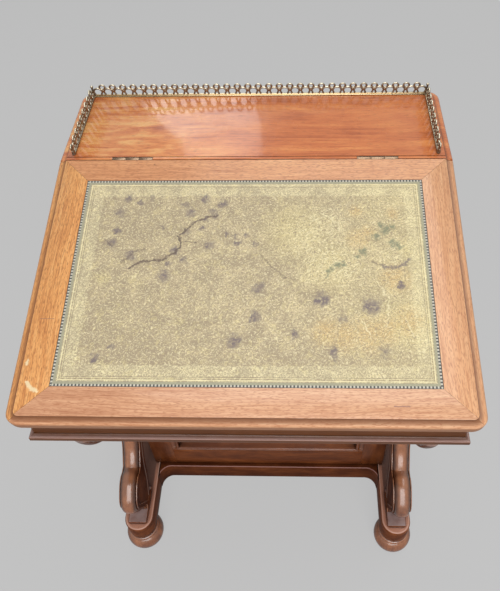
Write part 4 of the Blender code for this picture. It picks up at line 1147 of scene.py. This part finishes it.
# Cabinet front: stiles and rails, a sunk figured panel and a splayed moulding round it
cabinet = dict(
    half=0.232, front=-0.04824, low=0.0953, high=0.629, thick=0.022, stile=0.044, bottomRail=0.059,
    topRail=0.05, panelSet=0.011, edge=0.0005, backEdge=0.0006, panelField=((0.023, 0), (0.0015, 0)),
    backField=((0.055, 0), (0.003, -0.002), (0.004, -0.002), (0.001, -0.001)))
half, low, high = cabinet["half"], cabinet["low"], cabinet["high"]
openHalf, openLow, openHigh = half - cabinet["stile"], low + cabinet["bottomRail"], high - cabinet["topRail"]
frontBoards = [("cabinet_left_stile", (-half, low), (-openHalf, high), darkWoodZ, ["cabinet_front_frame"]),
               ("cabinet_right_stile", (openHalf, low), (half, high), darkWoodZ, []),
               ("cabinet_bottom_rail", (-openHalf, low), (openHalf, openLow), darkWoodX, []),
               ("cabinet_top_rail", (-openHalf, openHigh), (openHalf, high), darkWoodX, [])]
for name, (x0, z0), (x1, z1), wood, nodes in frontBoards:
    board = addBlock(name, (x0, cabinet["front"], z0), (x1, cabinet["front"] + cabinet["thick"], z1))
    settle(soften(board, cabinet["edge"]), wood, *nodes)
panel = nodeBlock("cabinet_panel_visual", "cabinet_front_panel")
insetFace(panel, facing(-yAxis), *cabinet["panelField"])
settle(panel, flameWood, "cabinet_front_panel")

# Section of the panel moulding as (in from the frame's edge, behind the frame's face)
mouldingSection = mm(
    (0.3, 0.3), (4.5, 1.4), (6.8, 2.0), (7.6, 0), (8.6, -2.2), (10.0, -3.4), (11.8, -3.6), (13.4, -2.6),
    (14.6, -0.4), (15.4, 3.2), (16.8, 7.0), (19.0, 10.2))


def splayStrip(name, half):  # along X, a bead between the frame's edge and the panel
    strip = addBlock(name, (-half, 0, mouldingSection[0][0]),
                     (half, cabinet["panelSet"] - gap, mouldingSection[-1][0]))
    for up, behind in mouldingSection[1:-1]:
        scoreLine(strip, (0, 0, up), zAxis)
    for up, behind in mouldingSection:
        shift(strip, lambda v: v.co.y < near and abs(v.co.z - up) < near, (0, behind, 0))
    for side in (-1, 1):
        cutAway(strip, (side * half, 0, 0), (side, 0, 1))
    return strip


panelMid, panelTall = (openLow + openHigh) / 2, (openHigh - openLow) / 2
for name, half, x, z, turn, wood, nodes in (
        ("panel_moulding_low", openHalf, 0, openLow, 0, beadWoodX, ["cabinet_panel_moulding"]),
        ("panel_moulding_high", openHalf, 0, openHigh, math.pi, beadWoodX, []),
        ("panel_moulding_left", panelTall, -openHalf, panelMid, quarter, beadWoodZ, []),
        ("panel_moulding_right", panelTall, openHalf, panelMid, -quarter, beadWoodZ, [])):
    strip = moved(splayStrip(name, half), (x, cabinet["front"], z), (0, turn, 0))
    settle(strip, wood, *nodes, smooth=50)

# Back of the cabinet: one board with a sunk field
board = nodeBlock("cabinet_back_visual", "cabinet_back_panel")
insetFace(board, facing(yAxis), *cabinet["backField"])
settle(soften(board, cabinet["backEdge"]), darkWoodZ, "cabinet_back_panel")
print("cabinet made")

# Drawers: fronts with a cock bead, dummies on the left, turned knobs
drawer = dict(
    bead=0.0032, beadOut=0.0016, beadWall=0.0002, dummyRaise=0.003, dummySeat=0.002, edge=0.0004)
knobShape = mm(
    (0, 24.0), (4.0, 23.8), (8.2, 22.9), (11.8, 21.2), (14.3, 18.8), (15.7, 16.0), (16.0, 13.8),
    (15.4, 11.8), (13.8, 10.2), (11.2, 9.1), (8.8, 8.4), (8.0, 7.4), (8.0, 4.8), (8.8, 3.6), (10.8, 3.0),
    (12.0, 2.2), (12.2, 1.0), (11.8, 0), (0, 0))


def beadedFront(name, low, high, out):  # out is the side the face looks to
    board = addBlock(name, low, high)
    pick(board, "FACE", facing(xAxis * out))
    extrude((out * drawer["beadOut"], 0, 0))
    bpy.ops.mesh.inset(thickness=drawer["bead"], depth=0)
    bpy.ops.mesh.inset(thickness=drawer["beadWall"], depth=-drawer["beadOut"])
    tip = (low[0] if out < 0 else high[0]) + out * drawer["beadOut"]
    roundEdges(board, lambda e: at(e, x=tip) and any(abs(f.normal.x) < 0.5 for f in e.link_faces),
               drawer["beadOut"] * 0.8)
    return board


knob = turnOnLathe("turned_knob", knobShape, (0, 0, 0), 40)
for number in range(1, 5):
    body, node = f"drawer_{number}", f"drawer_knob_{number}"
    low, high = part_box(f"drawer_front_{number}")
    board = beadedFront(f"drawer_face_{number}", low, high, 1)
    settle(board, darkWoodY, f"drawer_front_{number}", body=body)
    knobLow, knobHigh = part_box(node)
    x, (y, z) = knobLow.x, ((knobLow + knobHigh) / 2).yz
    piece = moved(copyOf(knob, node + "_visual"), (x, y, z), (0, quarter, 0))
    settle(piece, darkWoodX, node, body=body, smooth=40)
    # the dummy on the left is the same front, turned round
    outer, inner = -cabinet["half"], -cabinet["half"] + drawer["dummyRaise"] + drawer["dummySeat"]
    board = beadedFront(f"dummy_face_{number}", (outer, low.y, low.z), (inner, high.y, high.z), -1)
    settle(board, darkWoodY)
    piece = moved(copyOf(knob, f"dummy_knob_{number}_visual"), (-x, y, z), (0, -quarter, 0))
    settle(piece, darkWoodX, f"dummy_knob_{number}", smooth=40)
discard(knob)
low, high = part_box("cabinet_left_side")
board = addBlock("cabinet_left_visual", low + xAxis * drawer["dummyRaise"], high)
settle(soften(board, drawer["edge"]), darkWoodZ, "cabinet_left_side")
print("drawers made")

# Pieces whose CAD shape is right get a wood of their own
nodeWoods = dict(
    drawer_tray=liningWoodY, cabinet_floor=darkWoodY, drawer_divider=darkWoodY, little_drawer=liningWoodX,
    pigeonhole=liningWoodX, box_bottom=liningWoodX, lid_panel=liningWoodX)
for node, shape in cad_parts.items():
    for start, wood in nodeWoods.items():
        if node.startswith(start):
            for slot in shape.material_slots:
                slot.material = wood

# Floor, light and camera
stage = dict(
    grey=(0.5, 0.5, 0.5), backdrop=(0.575, 0.575, 0.575), evenness=0.8, mirrored=0.25, ambient=0.22,
    floor=14)
# Soft panels as (place, turn in degrees, power, width, depth)
panels = dict(
    overhead=((0.5, 0.4, 3.4), (0, 0, 0), 33, 2.1, 2.2),
    behind=((-0.66, 2.4, 2.15), (-90, 0, 0), 8.5, 0.94, 1.5),
    front=((0.2, -2.0, 1.9), (55, 0, 4), 54, 2.0, 2.2))
view = dict(
    place=(0.0642, -0.60254, 1.3696), yaw=-0.0518, pitch=0.8705, roll=0.0384, lens=46.8,
    shift=(-0.0566, -0.051))
deselect()
bpy.ops.mesh.primitive_plane_add(size=stage["floor"])
floor = newest("floor")
floorPaint, shader = newMaterial("floor_grey")
wire(shader, {"Base Color": (*stage["grey"], 1), "Roughness": 0.9, "Specular IOR Level": 0.0})
floor.data.materials.append(floorPaint)
ray = addNode("LightPath").outputs
plain = times(most(ray["Is Camera Ray"], ray["Is Transmission Ray"]), stage["evenness"])
plain = most(plain, times(ray["Is Glossy Ray"], stage["mirrored"]))
glow = addNode("Emission", {"Color": (*stage["backdrop"], 1)})
even = addNode("MixShader", {0: plain, 1: shader.outputs[0], 2: glow.outputs[0]})
wire(paint["tree"].nodes["Material Output"], {"Surface": even.outputs[0]})

world = bpy.data.worlds.new("studio")
bpy.context.scene.world = world
world.use_nodes = True
paint["tree"] = world.node_tree
surroundings = world.node_tree.nodes["Background"]
wire(surroundings, {"Color": (1, 1, 1, 1), "Strength": stage["ambient"]})
backdrop = addNode("Background", {"Color": (*stage["backdrop"], 1), "Strength": 1.0})
ray = addNode("LightPath").outputs
seen = most(most(ray["Is Camera Ray"], ray["Is Glossy Ray"]), ray["Is Transmission Ray"])
mixed = addNode("MixShader", {0: seen, 1: surroundings.outputs[0], 2: backdrop.outputs[0]})
wire(world.node_tree.nodes["World Output"], {"Surface": mixed.outputs[0]})

for name, (place, turn, power, width, depth) in panels.items():
    deselect()
    bpy.ops.object.light_add(type="AREA", location=place)
    lamp = bpy.context.object
    lamp.name = name + "_panel"
    lamp.data.shape, lamp.data.size, lamp.data.size_y, lamp.data.energy = "RECTANGLE", width, depth, power
    lamp.rotation_euler = [math.radians(angle) for angle in turn]

heading = Matrix.Rotation(-view["yaw"], 3, "Z") @ Matrix.Rotation(quarter - view["pitch"], 3, "X")
deselect()
bpy.ops.object.camera_add(location=view["place"])
camera = bpy.context.object
camera.rotation_euler = (heading @ Matrix.Rotation(-view["roll"], 3, "Z")).to_euler()
camera.data.sensor_fit, camera.data.sensor_width, camera.data.lens = "HORIZONTAL", 36, view["lens"]
camera.data.shift_x, camera.data.shift_y = view["shift"]
bpy.context.scene.camera = camera
bpy.context.scene.view_settings.view_transform = "Standard"
print("stage set")
